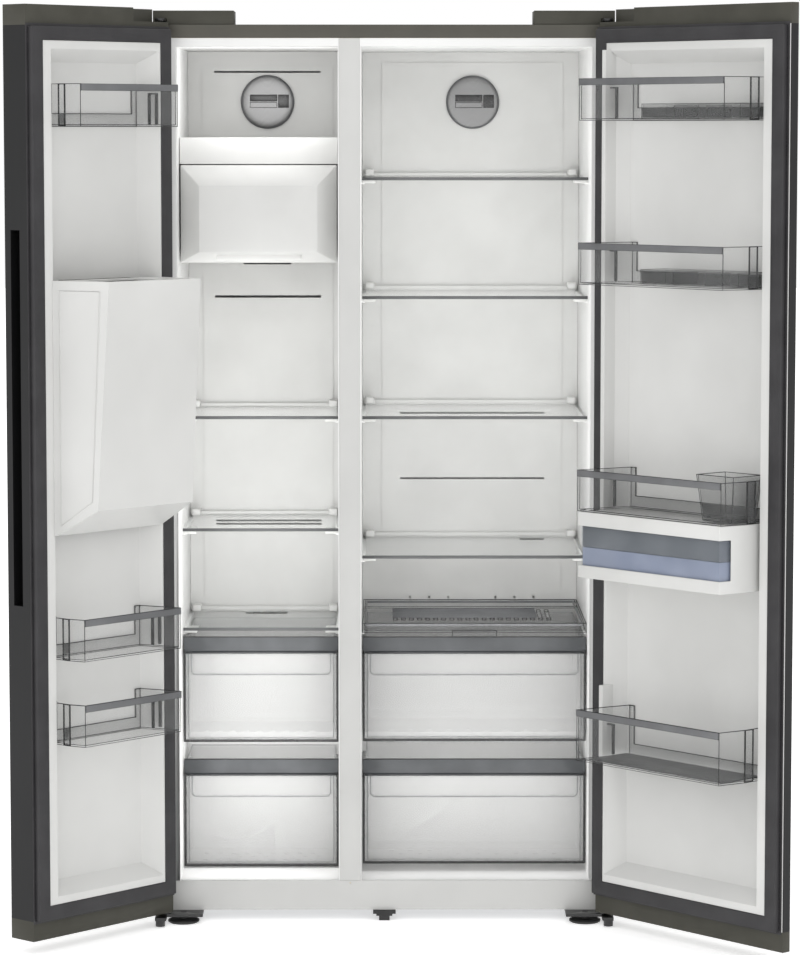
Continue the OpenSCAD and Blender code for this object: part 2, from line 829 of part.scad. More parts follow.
// Foam between a door's skin and its liner
module door_foam(w, u) {
  difference() {
    union() {
      door_block(w, skin, 0, shell_z);
    }
    slab([-1, w + 1], [back_v - liner_t, 1], [0, 3000]);
    pan_hollow(u, liner_t);
  }
  difference() {
    seal_window(u, [back_v - liner_t - 0.01, rim_v - liner_t], -0.5 - liner_t);
    pan_hollow(u, liner_t);
  }
}

// Folded steel skin of a door: front and both edges
module door_skin(w) {
  difference() {
    door_block(w, 0, 0, shell_z);
    door_block(w, skin, 1, [shell_z[0] - 1, shell_z[1] + 1]);
  }
}

// End caps of a door with the hinge bushes, the upper one open around the hinge arm
module door_caps(w) {
  difference() {
    union() {
      door_block(w, 0, 0, [door_z0, shell_z[0]]);
      door_block(w, 0, 0, [shell_z[1], door_top]);
    }
    slab([-1, 112], [front_v + 8, 1], [cab_h + 3, door_top + 1]);
    bar_z([hinge_in, -hinge_out + seal_play, door_z0 - 1], pin_r + pin_fit, 22);
    bar_z([hinge_in, -hinge_out + seal_play, shell_z[1] + 0.5], pin_r + pin_fit, 40);
  }
}

// Magnetic seal frame
module door_seal(u) {
  difference() {
    slab(u, [back_v, 0], seal_z);
    seal_window(u, [back_v - 1, 1], 0);
  }
}

// The freezer door's grip pocket, sunk in its free edge
pocket_v = [front_v + 16, front_v + 41];

module left_pocket(grow) {
  slab([left_w - 22 - grow, left_w + 1], [pocket_v[0] - grow, pocket_v[1] + grow],
       [grip_z[0] - grow, grip_z[1] + grow]);
}

// The fridge door's full-height grip rebate, with a finger groove in it
module right_rebate(grow) {
  slab([right_w - grip_w - grow, right_w + 1], [front_v - 1, grip_v + grow], [0, 3000]);
}

module right_groove(grow) {
  slab([right_w - grip_w - 16 - grow, right_w - grip_w + 1],
       [pocket_v[0] - grow, -pan_d - liner_t - grip_wall - 1 + grow],
       [grip_z[0] - grow, grip_z[1] + grow]);
}

// Opening for the dispenser, through the skin, foam and liner
module niche_cut(grow) {
  slab([niche_u[0] - grow, niche_u[1] + grow], [front_v - 1, 1],
       [niche_z[0] - grow, niche_z[1] + grow]);
}

module left_door_shell() {
  color(dark)
    on_left_door() {
      difference() {
        door_skin(left_w);
        left_pocket(0);
        niche_cut(0);
      }
      difference() {
        intersection() {
          left_pocket(grip_wall);
          door_block(left_w, 0, 0, shell_z);
        }
        left_pocket(0);
      }
    }
}

module right_door_shell() {
  color(dark)
    on_right_door()
      difference() {
        union() {
          door_skin(right_w);
          intersection() {
            union() {
              right_rebate(grip_wall);
              right_groove(grip_wall);
            }
            door_block(right_w, 0, 0, shell_z);
          }
        }
        right_rebate(0);
        right_groove(0);
      }
}

module left_door_foam() {
  color(foam)
    on_left_door()
      difference() {
        door_foam(left_w, left_seal_u);
        left_pocket(grip_wall);
        niche_cut(niche_wall);
      }
}

module right_door_foam() {
  color(foam)
    on_right_door()
      difference() {
        door_foam(right_w, right_seal_u);
        right_rebate(grip_wall);
        right_groove(grip_wall);
      }
}

module left_door_caps() {
  color(olive)
    on_left_door()
      door_caps(left_w);
}

module right_door_caps() {
  color(olive)
    on_right_door()
      difference() {
        door_caps(right_w);
        right_rebate(0);
      }
}

module left_door_liner() {
  color(white)
    on_left_door()
      difference() {
        door_liner(left_w, left_seal_u);
        niche_cut(niche_wall);
      }
}

// Ridges beside the fridge door's bins, on the hinge side
ridge_u = [right_seal_u[0] + seal_w + 4, right_seal_u[0] + seal_w + 14];
ridge_v = 13;

module ridge(z) {
  slab(ridge_u, [rim_v - 1, ridge_v], z);
  intersection() {
    slab(ridge_u, [-pan_d, rim_v], z);
    pan_hollow(right_seal_u, 1);
  }
}

module right_door_liner() {
  color(white)
    on_right_door() {
      door_liner(right_w, right_seal_u);
      ridge([holder_z[0] - 2, cav_top - 9]);
      ridge([right_bin_z[3] - 4, right_bin_z[3] + deep_bin_h + 40]);
    }
}

module left_seal() {
  color(dark)
    on_left_door()
      door_seal(left_seal_u);
}

module right_seal() {
  color(dark)
    on_right_door()
      door_seal(right_seal_u);
}

// Outline of a door bin, or of its hollow when inset by its wall
function bin_outline(u0, u1, reach, t) = [
  [u0 + t, reach - t], [u1 - t * 0.8, reach - t], [u1 + 10 - t, reach * 0.25 - t * 0.2],
  [u1 + 10 - t, -pan_d + 1 + t], [u0 + 26 + t, -pan_d + 1 + t]
];

// A door bin: floor, walls, a low back and a front rail
module bin(u0, u1, reach, z, h) {
  difference() {
    union() {
      translate([0, 0, z])
        linear_extrude(height = h)
          polygon(bin_outline(u0, u1, reach, 0));
      slab([u0, u1], [reach, reach + 2], [z + h - 12, z + h]);
    }
    translate([0, 0, z + 3])
      linear_extrude(height = h)
        polygon(bin_outline(u0, u1, reach, bin_t));
    slab([u0 + 40, u1 - 4], [-pan_d - 1, -pan_d + 6], [z + 24, z + h + 1]);
  }
}

left_bin_u = [56, left_w - 81];
right_bin_u = [61, right_w - 79];

module left_door_bins() {
  color(smoke)
    on_left_door()
      for (z = left_bin_z)
        bin(left_bin_u[0], left_bin_u[1], left_bin_v, z, bin_h);
}

module right_door_bins() {
  color(smoke)
    on_right_door() {
      for (i = [0:2])
        bin(right_bin_u[0], right_bin_u[1], right_bin_v, right_bin_z[i], bin_h);
      bin(right_bin_u[0], right_bin_u[1], right_bin_v, right_bin_z[3], deep_bin_h);
    }
}

// Ice chute housing inside the freezer door, hollow, with a funnel mouth on top
chute_wall = 3;
chute_low = chute_v - 27;

module chute_side(grow) {
  polygon([
    [rim_v + 0.3 - 2 * grow, chute_z[0] - 52 + grow], [8, chute_z[0] - 48 + grow],
    [chute_low - grow, chute_z[0] + grow], [chute_v - grow, chute_z[1] - grow],
    [rim_v + 0.3 - 2 * grow, chute_z[1] - grow]
  ]);
}

module chute_plan(grow) {
  polygon([
    [chute_u[0] - 6 + grow, rim_v + 0.3 - 2 * grow], [chute_u[1] + 30 - grow, rim_v + 0.3 - 2 * grow],
    [chute_u[1] - grow, chute_v + 1], [chute_u[0] + grow, chute_v + 1]
  ]);
}

module chute_block(grow) {
  intersection() {
    rotate([90, 0, 90])
      linear_extrude(height = left_w)
        chute_side(grow);
    linear_extrude(height = chute_z[1] + 1)
      chute_plan(grow);
  }
}

funnel_u = [157, 290];
funnel_v = [30, chute_v - 16];

module chute_housing() {
  color(white)
    on_left_door()
      difference() {
        chute_block(0);
        chute_block(chute_wall);
        slab(funnel_u, funnel_v, [chute_z[1] - 20, chute_z[1] + 1]);
      }
}

// Dispenser niche in the freezer door's front
paddle_r = 4;
paddle_v = front_v + 30;
paddle_z = niche_z[1] - 76;
flap_r = 3;
flap_v = niche_back;
flap_z = niche_z[1] - 24;
port_u = [168, 222];

module dispenser_housing() {
  color(dark)
    on_left_door()
      difference() {
        union() {
          slab([niche_u[0] - niche_wall, niche_u[1] + niche_wall], [front_v + skin, niche_back + 11],
               [niche_z[0] - niche_wall, niche_z[1] + niche_wall]);
          slab(niche_u, [front_v - 2, front_v + skin + 1], niche_z);
        }
        slab([niche_u[0] + 6, niche_u[1] - 6], [front_v - 3, niche_back], [niche_z[0] + 6, niche_z[1] - 66]);
        slab(port_u, [niche_back - 34, niche_back + 14], [niche_z[1] - 70, niche_z[1] - 18]);
        bar_x([niche_u[0] + 1, paddle_v, paddle_z], paddle_r + pin_fit, niche_u[1] - niche_u[0] - 2);
        bar_x([port_u[0] - 4, flap_v, flap_z], flap_r + pin_fit, port_u[1] - port_u[0] + 8);
      }
}

// Lever that a glass pushes to start the dispenser
module dispenser_paddle() {
  color(steel)
    on_left_door() {
      bar_x([niche_u[0] + 1.5, paddle_v, paddle_z], paddle_r, niche_u[1] - niche_u[0] - 3);
      slab([175, 215], [paddle_v - 1.5, paddle_v + 1.5], [paddle_z - 96, paddle_z]);
    }
}

// Insulating flap over the chute's lower mouth
module chute_flap() {
  color(dark)
    on_left_door() {
      bar_x([port_u[0] - 3.5, flap_v, flap_z], flap_r, port_u[1] - port_u[0] + 7);
      slab([port_u[0] + 1, port_u[1] - 1], [flap_v - 1.5, flap_v + 1.5], [flap_z - 38, flap_z]);
    }
}

// Grid tray at the bottom of the niche
module drip_tray() {
  color(steel)
    on_left_door()
      difference() {
        slab([niche_u[0] + 7, niche_u[1] - 7], [front_v - 6, niche_back - 1],
             [niche_z[0] + 6, niche_z[0] + 14]);
        for (i = [0:12])
          slab([niche_u[0] + 14 + 12 * i, niche_u[0] + 20 + 12 * i], [front_v + 4, niche_back - 10],
               [niche_z[0] + 9, niche_z[0] + 15]);
      }
}

// White holder under the third fridge bin, and the tank it carries
holder_reach = right_bin_v + 3;

module holder_block(grow, z) {
  translate([0, 0, z[0]])
    linear_extrude(height = z[1] - z[0])
      polygon(bin_outline(right_bin_u[0] + 3, right_bin_u[1], holder_reach, grow));
}

module tank_holder() {
  color(white)
    on_right_door()
      difference() {
        holder_block(0, holder_z);
        holder_block(4, [holder_z[0] + 4, holder_z[1] - 24]);
        slab([right_bin_u[0] - 30, right_bin_u[1] - 60], [holder_reach - 30, holder_reach + 5],
             [holder_z[0] + 24, holder_z[1] - 27]);
        slab([right_bin_u[0], right_bin_u[1] + 4], [holder_reach - 40, holder_reach + 5],
             [holder_z[0] + 24, holder_z[1] - 27]);
      }
}

module water_tank() {
  color([0.62, 0.68, 0.80, 0.6])
    on_right_door()
      difference() {
        holder_block(4.8, [holder_z[0] + 4.5, holder_z[1] - 25]);
        holder_block(7.3, [holder_z[0] + 7, holder_z[1] - 27.5]);
        bar_z([250, 0, holder_z[1] - 30], 22, 10);
      }
}

outer_shell();
rear_panel();
cabinet_foam();
freezer_liner();
fridge_liner();
mullion_cover();
toe_panel();
base_frame();
freezer_back_panel();
fridge_back_panel();
fan_covers();
freezer_shelf(0);  // freezer_shelf_upper
freezer_shelf(1);  // freezer_shelf_middle
freezer_shelf(2);  // freezer_shelf_lower
fridge_shelf(0);  // fridge_shelf_top
fridge_shelf(1);  // fridge_shelf_upper
fridge_shelf(2);  // fridge_shelf_middle
fridge_shelf(3);  // fridge_shelf_lower
shelf_trims();
ice_maker();
hinge_brackets();
hinge_covers();
centre_foot();
compressor();
condenser();
condenser_fan();
drain_pan();
control_box();
machine_cover();
power_inlet();
evaporator();
evaporator_fan();
rear_rollers();
front_foot_left();
front_foot_right();
ice_bucket();
freezer_drawer_upper();
freezer_drawer_lower();
fridge_drawer_upper();
fridge_drawer_lower();
chill_tray();
left_door_shell();
left_door_foam();
left_door_caps();
left_door_liner();
left_seal();
left_door_bins();
chute_housing();
dispenser_housing();
dispenser_paddle();
drip_tray();
chute_flap();
right_door_shell();
right_door_foam();
right_door_caps();
right_door_liner();
right_seal();
right_door_bins();
tank_holder();
water_tank();
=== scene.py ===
import sys
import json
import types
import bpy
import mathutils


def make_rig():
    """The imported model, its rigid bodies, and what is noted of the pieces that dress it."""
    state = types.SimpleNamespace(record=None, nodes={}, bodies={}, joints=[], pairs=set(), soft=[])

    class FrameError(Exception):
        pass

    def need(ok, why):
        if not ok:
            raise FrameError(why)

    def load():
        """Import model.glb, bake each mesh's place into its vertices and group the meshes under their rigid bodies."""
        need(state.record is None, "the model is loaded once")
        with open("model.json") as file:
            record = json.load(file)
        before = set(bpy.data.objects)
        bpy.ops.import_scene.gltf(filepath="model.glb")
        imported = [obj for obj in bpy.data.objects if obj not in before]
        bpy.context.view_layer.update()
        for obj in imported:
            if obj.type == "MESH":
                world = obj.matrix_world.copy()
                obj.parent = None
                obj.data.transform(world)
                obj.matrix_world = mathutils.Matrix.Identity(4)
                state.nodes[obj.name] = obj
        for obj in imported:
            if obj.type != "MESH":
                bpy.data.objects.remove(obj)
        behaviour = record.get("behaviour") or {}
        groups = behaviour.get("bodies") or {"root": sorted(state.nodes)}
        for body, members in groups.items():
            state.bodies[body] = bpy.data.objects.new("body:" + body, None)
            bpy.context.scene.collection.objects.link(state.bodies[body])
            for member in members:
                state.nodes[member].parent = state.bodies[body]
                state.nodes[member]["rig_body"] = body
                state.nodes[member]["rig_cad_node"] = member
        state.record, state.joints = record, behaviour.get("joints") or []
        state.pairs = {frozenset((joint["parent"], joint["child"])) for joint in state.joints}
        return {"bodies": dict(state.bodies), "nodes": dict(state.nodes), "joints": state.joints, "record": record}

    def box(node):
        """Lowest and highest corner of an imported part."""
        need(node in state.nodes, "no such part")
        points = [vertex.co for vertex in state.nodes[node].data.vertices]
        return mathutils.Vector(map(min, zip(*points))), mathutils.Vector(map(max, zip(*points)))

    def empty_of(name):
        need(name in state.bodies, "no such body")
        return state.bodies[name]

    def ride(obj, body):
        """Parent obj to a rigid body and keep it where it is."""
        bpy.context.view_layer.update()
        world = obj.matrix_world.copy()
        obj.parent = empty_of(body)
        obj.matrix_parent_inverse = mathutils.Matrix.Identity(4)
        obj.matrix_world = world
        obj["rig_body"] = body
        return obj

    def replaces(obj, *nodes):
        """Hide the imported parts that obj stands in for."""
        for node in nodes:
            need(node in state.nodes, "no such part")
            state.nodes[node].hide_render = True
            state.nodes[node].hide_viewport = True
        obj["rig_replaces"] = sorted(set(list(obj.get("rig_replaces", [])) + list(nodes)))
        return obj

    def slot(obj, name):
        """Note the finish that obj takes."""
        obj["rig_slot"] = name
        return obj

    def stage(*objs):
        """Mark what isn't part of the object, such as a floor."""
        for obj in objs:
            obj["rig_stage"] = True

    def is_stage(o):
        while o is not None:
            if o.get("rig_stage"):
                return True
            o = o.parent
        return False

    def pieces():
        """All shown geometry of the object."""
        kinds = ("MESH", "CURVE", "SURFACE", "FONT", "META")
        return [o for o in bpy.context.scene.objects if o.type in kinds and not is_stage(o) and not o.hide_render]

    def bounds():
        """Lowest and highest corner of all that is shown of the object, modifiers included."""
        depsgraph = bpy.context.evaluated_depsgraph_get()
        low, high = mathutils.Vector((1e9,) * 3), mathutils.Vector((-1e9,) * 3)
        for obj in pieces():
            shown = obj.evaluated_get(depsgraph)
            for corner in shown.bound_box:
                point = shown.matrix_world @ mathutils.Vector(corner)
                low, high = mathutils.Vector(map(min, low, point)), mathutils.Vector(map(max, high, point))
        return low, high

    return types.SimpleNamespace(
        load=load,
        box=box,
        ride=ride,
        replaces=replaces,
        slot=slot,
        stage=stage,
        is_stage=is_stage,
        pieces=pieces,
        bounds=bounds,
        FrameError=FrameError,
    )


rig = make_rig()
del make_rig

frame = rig.load()

import json
import math

import bpy
from bpy.props import FloatProperty, FloatVectorProperty, PointerProperty
from mathutils import Matrix, Vector

bl_info = {
    "name": "Side by side refrigerator",
    "version": (1, 0, 0),
    "blender": (4, 5, 0),
    "location": "View3D > Sidebar > Fridge",
    "description": "Finishes a side by side refrigerator around its packed frame",
    "category": "Object",
}

CAD_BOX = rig.bounds()
MM = 0.001
RECORD = frame["record"]
HINGES = {j["child"]: j for j in frame["joints"] if j["child"] in ("left_door", "right_door")}


# ---- colours and nodes

def linear(colour, alpha=1.0):
    """An sRGB hex colour as linear red, green, blue and alpha."""
    parts = [int(colour[i:i + 2], 16) / 255 for i in (1, 3, 5)]
    return tuple(c / 12.92 if c <= 0.04045 else ((c + 0.055) / 1.055) ** 2.4 for c in parts) + (alpha,)


def add_node(tree, kind, settings=None, inputs=None, links=None):
    """Adds a node, sets its properties and socket values, and links sockets to it."""
    node = tree.nodes.new(kind)
    for key, value in (settings or {}).items():
        setattr(node, key, value)
    for key, value in (inputs or {}).items():
        node.inputs[key].default_value = value
    for key, socket in (links or {}).items():
        tree.links.new(socket, node.inputs[key])
    return node


def new_finish(name, base, roughness, **sockets):
    """A material with a Principled shader, returned with its tree, shader and Object coordinates."""
    material = bpy.data.materials.new(name)
    material.use_nodes = True
    tree = material.node_tree
    tree.nodes.clear()
    shader = add_node(tree, "ShaderNodeBsdfPrincipled",
                      inputs={"Base Color": linear(base), "Roughness": roughness})
    for key, value in sockets.items():
        shader.inputs[key.replace("_", " ")].default_value = value
    add_node(tree, "ShaderNodeOutputMaterial", links={"Surface": shader.outputs["BSDF"]})
    place = add_node(tree, "ShaderNodeTexCoord").outputs["Object"]
    return material, tree, shader, place


def mottle(tree, shader, place, base, other, size_mm, low=0.35, high=0.65):
    """Slow colour drift between two tones, one patch every size_mm."""
    noise = add_node(tree, "ShaderNodeTexNoise", inputs={"Scale": 1 / (size_mm * MM), "Detail": 3.0},
                     links={"Vector": place})
    ramp = add_node(tree, "ShaderNodeValToRGB", links={"Fac": noise.outputs["Fac"]})
    ramp.color_ramp.elements[0].position = low
    ramp.color_ramp.elements[0].color = linear(base)
    ramp.color_ramp.elements[1].position = high
    ramp.color_ramp.elements[1].color = linear(other)
    tree.links.new(ramp.outputs["Color"], shader.inputs["Base Color"])


def grain(tree, shader, place, size_mm, depth_mm, stretch=(1, 1, 1), rough=None):
    """Fine surface relief of size_mm, stretched along an axis for brushed or rolled stock."""
    scaled = add_node(tree, "ShaderNodeMapping", inputs={"Scale": stretch}, links={"Vector": place})
    noise = add_node(tree, "ShaderNodeTexNoise", inputs={"Scale": 1 / (size_mm * MM), "Detail": 2.0},
                     links={"Vector": scaled.outputs["Vector"]})
    bump = add_node(tree, "ShaderNodeBump", inputs={"Strength": 0.35, "Distance": depth_mm * MM},
                    links={"Height": noise.outputs["Fac"]})
    tree.links.new(bump.outputs["Normal"], shader.inputs["Normal"])
    if rough:
        spread = add_node(tree, "ShaderNodeMapRange", inputs={"To Min": rough[0], "To Max": rough[1]},
                          links={"Value": noise.outputs["Fac"]})
        tree.links.new(spread.outputs["Result"], shader.inputs["Roughness"])


# ---- finishes, each named for the real stock

def formed_polystyrene():
    """High-impact polystyrene sheet, vacuum formed: bright white, soft sheen, faint orange peel."""
    material, tree, shader, place = new_finish(
        "formed_polystyrene", "#e2e2e1", 0.38, IOR=1.52, Specular_IOR_Level=0.4)
    mottle(tree, shader, place, "#dfdfde", "#e6e6e5", 180)
    grain(tree, shader, place, 5.0, 0.10, rough=(0.26, 0.40))
    return material


def door_polystyrene():
    """The doors' thicker formed sheet, a shade greyer where it was drawn deep."""
    material, tree, shader, place = new_finish(
        "door_polystyrene", "#cdcdcb", 0.42, IOR=1.52, Specular_IOR_Level=0.35)
    mottle(tree, shader, place, "#cacac8", "#d1d1cf", 240)
    grain(tree, shader, place, 5.0, 0.10, rough=(0.30, 0.42))
    return material


def moulded_abs_white():
    """Injection-moulded white ABS: satin, with a spark-eroded grain drawn coarse enough to show."""
    material, tree, shader, place = new_finish(
        "moulded_abs_white", "#cdcdcb", 0.40, IOR=1.53, Specular_IOR_Level=0.4)
    mottle(tree, shader, place, "#cacac8", "#d1d1cf", 140)
    grain(tree, shader, place, 1.6, 0.06, rough=(0.33, 0.44))
    return material


def coated_white_steel():
    """White powder-coated steel, slightly pebbled."""
    material, tree, shader, place = new_finish(
        "coated_white_steel", "#c2c2c0", 0.40, IOR=1.5, Coat_Weight=0.1)
    mottle(tree, shader, place, "#bfbfbd", "#c5c5c3", 200)
    grain(tree, shader, place, 2.2, 0.05, rough=(0.30, 0.42))
    return material


def olive_steel():
    """Warm grey pre-coated steel sheet with a rolled grain along its length."""
    material, tree, shader, place = new_finish("olive_steel", "#4c4a44", 0.42, Metallic=0.35)
    mottle(tree, shader, place, "#4a4842", "#504e47", 90)
    grain(tree, shader, place, 1.4, 0.04, stretch=(0.06, 1, 1), rough=(0.36, 0.50))
    return material


def black_steel():
    """Black stainless-look steel, brushed up and down the door."""
    material, tree, shader, place = new_finish("black_steel", "#1d1d1e", 0.40, Metallic=0.55)
    mottle(tree, shader, place, "#1c1c1d", "#1f1f20", 160)
    grain(tree, shader, place, 1.2, 0.04, stretch=(1, 1, 0.03), rough=(0.34, 0.50))
    return material


def olive_abs():
    """Warm grey moulded ABS of the door ends and hinge covers, with a leathered grain."""
    material, tree, shader, place = new_finish(
        "olive_abs", "#403f38", 0.60, IOR=1.53, Specular_IOR_Level=0.25)
    mottle(tree, shader, place, "#3d3c35", "#44433c", 70)
    grain(tree, shader, place, 1.3, 0.10, rough=(0.54, 0.66))
    return material


def seal_pvc():
    """Soft magnetic-seal PVC: dark, dull, faintly dusty along the lip."""
    material, tree, shader, place = new_finish("seal_pvc", "#2b2a2c", 0.58, IOR=1.48)
    mottle(tree, shader, place, "#272628", "#302f31", 60)
    grain(tree, shader, place, 2.0, 0.08, rough=(0.50, 0.66))
    return material


def smoked_styrene():
    """Clear grey-tinted polystyrene of the bins: glossy, and light enough to see the door through."""
    material, tree, shader, place = new_finish(
        "smoked_styrene", "#8f9090", 0.10, IOR=1.59, Alpha=0.075, Specular_IOR_Level=0.4)
    mottle(tree, shader, place, "#888989", "#999a9a", 120)
    grain(tree, shader, place, 14.0, 0.08, rough=(0.06, 0.14))
    return material


def smoked_edge():
    """The thick edges of the same styrene, which gather light and look nearly black."""
    material, tree, shader, place = new_finish("smoked_edge", "#222324", 0.22, IOR=1.59, Alpha=0.8)
    mottle(tree, shader, place, "#1c1d1e", "#2d2e2f", 30)
    grain(tree, shader, place, 4.0, 0.05, rough=(0.16, 0.28))
    return material


def frosted_styrene():
    """Clear polystyrene of the drawers, a little milky."""
    material, tree, shader, place = new_finish(
        "frosted_styrene", "#d3d3d2", 0.16, IOR=1.59, Alpha=0.30, Specular_IOR_Level=0.15)
    mottle(tree, shader, place, "#d1d1d0", "#d6d6d5", 300)
    grain(tree, shader, place, 2.0, 0.01, rough=(0.14, 0.20))
    return material


def slate_trim():
    """Slate-grey satin film on the grip strips and rails."""
    material, tree, shader, place = new_finish("slate_trim", "#68696b", 0.34, Metallic=0.25)
    mottle(tree, shader, place, "#636466", "#6e6f71", 60)
    grain(tree, shader, place, 1.2, 0.03, stretch=(0.05, 0.3, 1), rough=(0.28, 0.40))
    return material


def slate_strip():
    """Darker slate film of the drawers' wide grip strips."""
    material, tree, shader, place = new_finish("slate_strip", "#3d3f41", 0.34, Metallic=0.2)
    mottle(tree, shader, place, "#393b3d", "#424446", 60)
    grain(tree, shader, place, 1.2, 0.03, stretch=(0.05, 0.3, 1), rough=(0.28, 0.40))
    return material


def graphite_abs():
    """Dark grey moulded ABS of shelf edges and drawer frames."""
    material, tree, shader, place = new_finish("graphite_abs", "#3b3c3d", 0.36, IOR=1.53)
    mottle(tree, shader, place, "#373839", "#414243", 50)
    grain(tree, shader, place, 1.4, 0.05, rough=(0.30, 0.42))
    return material


def badge_ink():
    """Gloss black printed plate in the middle of a fan cover, left blank."""
    material, tree, shader, place = new_finish("badge_ink", "#1c1c1d", 0.25, IOR=1.5)
    mottle(tree, shader, place, "#191919", "#212122", 12)
    grain(tree, shader, place, 2.0, 0.02, rough=(0.20, 0.32))
    return material


def milky_edge():
    """Edges and ribs of the clear drawers, where the styrene looks pale and frosted."""
    material, tree, shader, place = new_finish("milky_edge", "#c4c6c6", 0.30, IOR=1.59, Alpha=0.5)
    mottle(tree, shader, place, "#bbbdbd", "#cdcfcf", 40)
    grain(tree, shader, place, 4.0, 0.05, rough=(0.24, 0.36))
    return material


def step_shadow():
    """Pressed steps of the clear fronts, where the bent styrene shows a soft grey line."""
    material, tree, shader, place = new_finish("step_shadow", "#7f8182", 0.35, IOR=1.59, Alpha=0.75)
    mottle(tree, shader, place, "#777979", "#888a8b", 25)
    grain(tree, shader, place, 3.0, 0.03, rough=(0.30, 0.42))
    return material


def float_glass():
    """Tempered float glass: almost clear, faintly green in depth."""
    material, tree, shader, place = new_finish(
        "float_glass", "#e3e8e6", 0.04, IOR=1.52, Alpha=0.10, Specular_IOR_Level=0.4)
    mottle(tree, shader, place, "#dfe5e2", "#e8ecea", 160)
    grain(tree, shader, place, 60.0, 0.05, rough=(0.03, 0.07))
    return material


def tank_styrene():
    """Blue-grey clear SAN of the water tank."""
    material, tree, shader, place = new_finish("tank_styrene", "#8d94a2", 0.10, IOR=1.57, Alpha=0.2)
    mottle(tree, shader, place, "#868d9b", "#959caa", 90)
    grain(tree, shader, place, 12.0, 0.06, rough=(0.06, 0.16))
    return material


def tank_water():
    """The water in the tank, seen through its blue-grey wall."""
    material, tree, shader, place = new_finish("tank_water", "#949db2", 0.06, IOR=1.33, Alpha=0.92)
    mottle(tree, shader, place, "#8e97ac", "#9aa3b8", 80)
    grain(tree, shader, place, 20.0, 0.05, rough=(0.04, 0.10))
    return material


def smoky_air():
    """The empty upper part of the tank: a near-opaque grey fill of painted shade, standing for the dim walls seen
    behind it.
    """
    material, tree, shader, place = new_finish("smoky_air", "#6c7072", 0.3, IOR=1.2, Alpha=0.88)
    mottle(tree, shader, place, "#64686a", "#75797b", 60)
    grain(tree, shader, place, 20.0, 0.05, rough=(0.24, 0.36))
    return material


def turned_aluminium(name, centre):
    """Aluminium disc, spun on a lathe: fine rings about its middle, in a material for each disc."""
    material, tree, shader, place = new_finish(name, "#7c7c7c", 0.34, Metallic=0.65)
    moved = add_node(tree, "ShaderNodeMapping", inputs={"Location": tuple(-c for c in centre)},
                     links={"Vector": place})
    rings = add_node(tree, "ShaderNodeTexWave", {"wave_type": "RINGS", "rings_direction": "Y"},
                     {"Scale": 130.0, "Distortion": 1.5, "Detail": 2.0},
                     {"Vector": moved.outputs["Vector"]})
    tone = add_node(tree, "ShaderNodeMixRGB", links={"Fac": rings.outputs["Fac"]},
                    inputs={"Color1": linear("#626262"), "Color2": linear("#8c8c8c")})
    tree.links.new(tone.outputs["Color"], shader.inputs["Base Color"])
    bump = add_node(tree, "ShaderNodeBump", inputs={"Strength": 0.25, "Distance": 0.05 * MM},
                    links={"Height": rings.outputs["Fac"]})
    tree.links.new(bump.outputs["Normal"], shader.inputs["Normal"])
    return material


def zinc_steel():
    """Zinc-plated pressed steel: pale, with the plate's patchy spangle."""
    material, tree, shader, place = new_finish("zinc_steel", "#9a9c9d", 0.38, Metallic=0.9)
    mottle(tree, shader, place, "#95979a", "#a0a2a4", 7)
    grain(tree, shader, place, 2.0, 0.04, rough=(0.30, 0.46))
    return material


def black_rubber():
    """Black moulded rubber and nylon of feet, rollers and fans."""
    material, tree, shader, place = new_finish("black_rubber", "#232323", 0.55, IOR=1.5)
    mottle(tree, shader, place, "#1f1f1f", "#2a2a2a", 25)
    grain(tree, shader, place, 1.5, 0.08, rough=(0.48, 0.64))
    return material


def enamelled_coil():
    """Black stove enamel over the compressor and condenser."""
    material, tree, shader, place = new_finish("enamelled_coil", "#161616", 0.32, Coat_Weight=0.3)
    mottle(tree, shader, place, "#131313", "#1c1c1c", 40)
    grain(tree, shader, place, 2.6, 0.08, rough=(0.26, 0.42))
    return material


def fin_aluminium():
    """Mill-finish aluminium sheet of the fins, paddle and drip grid."""
    material, tree, shader, place = new_finish("fin_aluminium", "#b9bbbc", 0.34, Metallic=0.95)
    mottle(tree, shader, place, "#b0b2b3", "#c4c6c7", 20)
    grain(tree, shader, place, 1.0, 0.03, stretch=(1, 1, 0.08), rough=(0.26, 0.42))
    return material


def foamed_polyurethane():
    """Foamed-in polyurethane, pale yellow with open cells."""
    material, tree, shader, place = new_finish("foamed_polyurethane", "#e3d7ab", 0.85)
    mottle(tree, shader, place, "#dccf9f", "#eadfb9", 15)
    grain(tree, shader, place, 2.0, 0.6)
    return material


def studio_floor():
    """Seamless pale paper, lit a little from below as on a light table."""
    material, tree, shader, place = new_finish("studio_floor", "#f7f7f7", 0.9)
    mottle(tree, shader, place, "#f6f6f6", "#f9f9f9", 400)
    shader.inputs["Emission Color"].default_value = linear("#ffffff")
    shader.inputs["Emission Strength"].default_value = 0.5
    return material


FINISH = {}


def finish(name):
    """The named finish, made once."""
    if name not in FINISH:
        FINISH[name] = globals()[name]()
    return FINISH[name]


# ---- mesh work

def only_none():
    """Leaves edit mode with no object selected."""
    if bpy.context.object and bpy.context.object.mode != "OBJECT":
        bpy.ops.object.mode_set(mode="OBJECT")
    bpy.ops.object.select_all(action="DESELECT")


def only(*objects):
    """Makes these the selected objects, the first one active."""
    only_none()
    for o in objects:
        o.select_set(True)
    bpy.context.view_layer.objects.active = objects[0]


def edit(obj, mode="FACE"):
    """Enters edit mode with nothing selected."""
    only(obj)
    bpy.ops.object.mode_set(mode="EDIT")
    bpy.ops.mesh.select_mode(type=mode)
    bpy.ops.mesh.select_all(action="DESELECT")


def pick_faces(obj, test):
    """Selects the faces whose centre and normal pass the test, and stays in edit mode."""
    bpy.ops.object.mode_set(mode="OBJECT")
    for face in obj.data.polygons:
        face.select = test(face.center, face.normal)
    bpy.ops.object.mode_set(mode="EDIT")


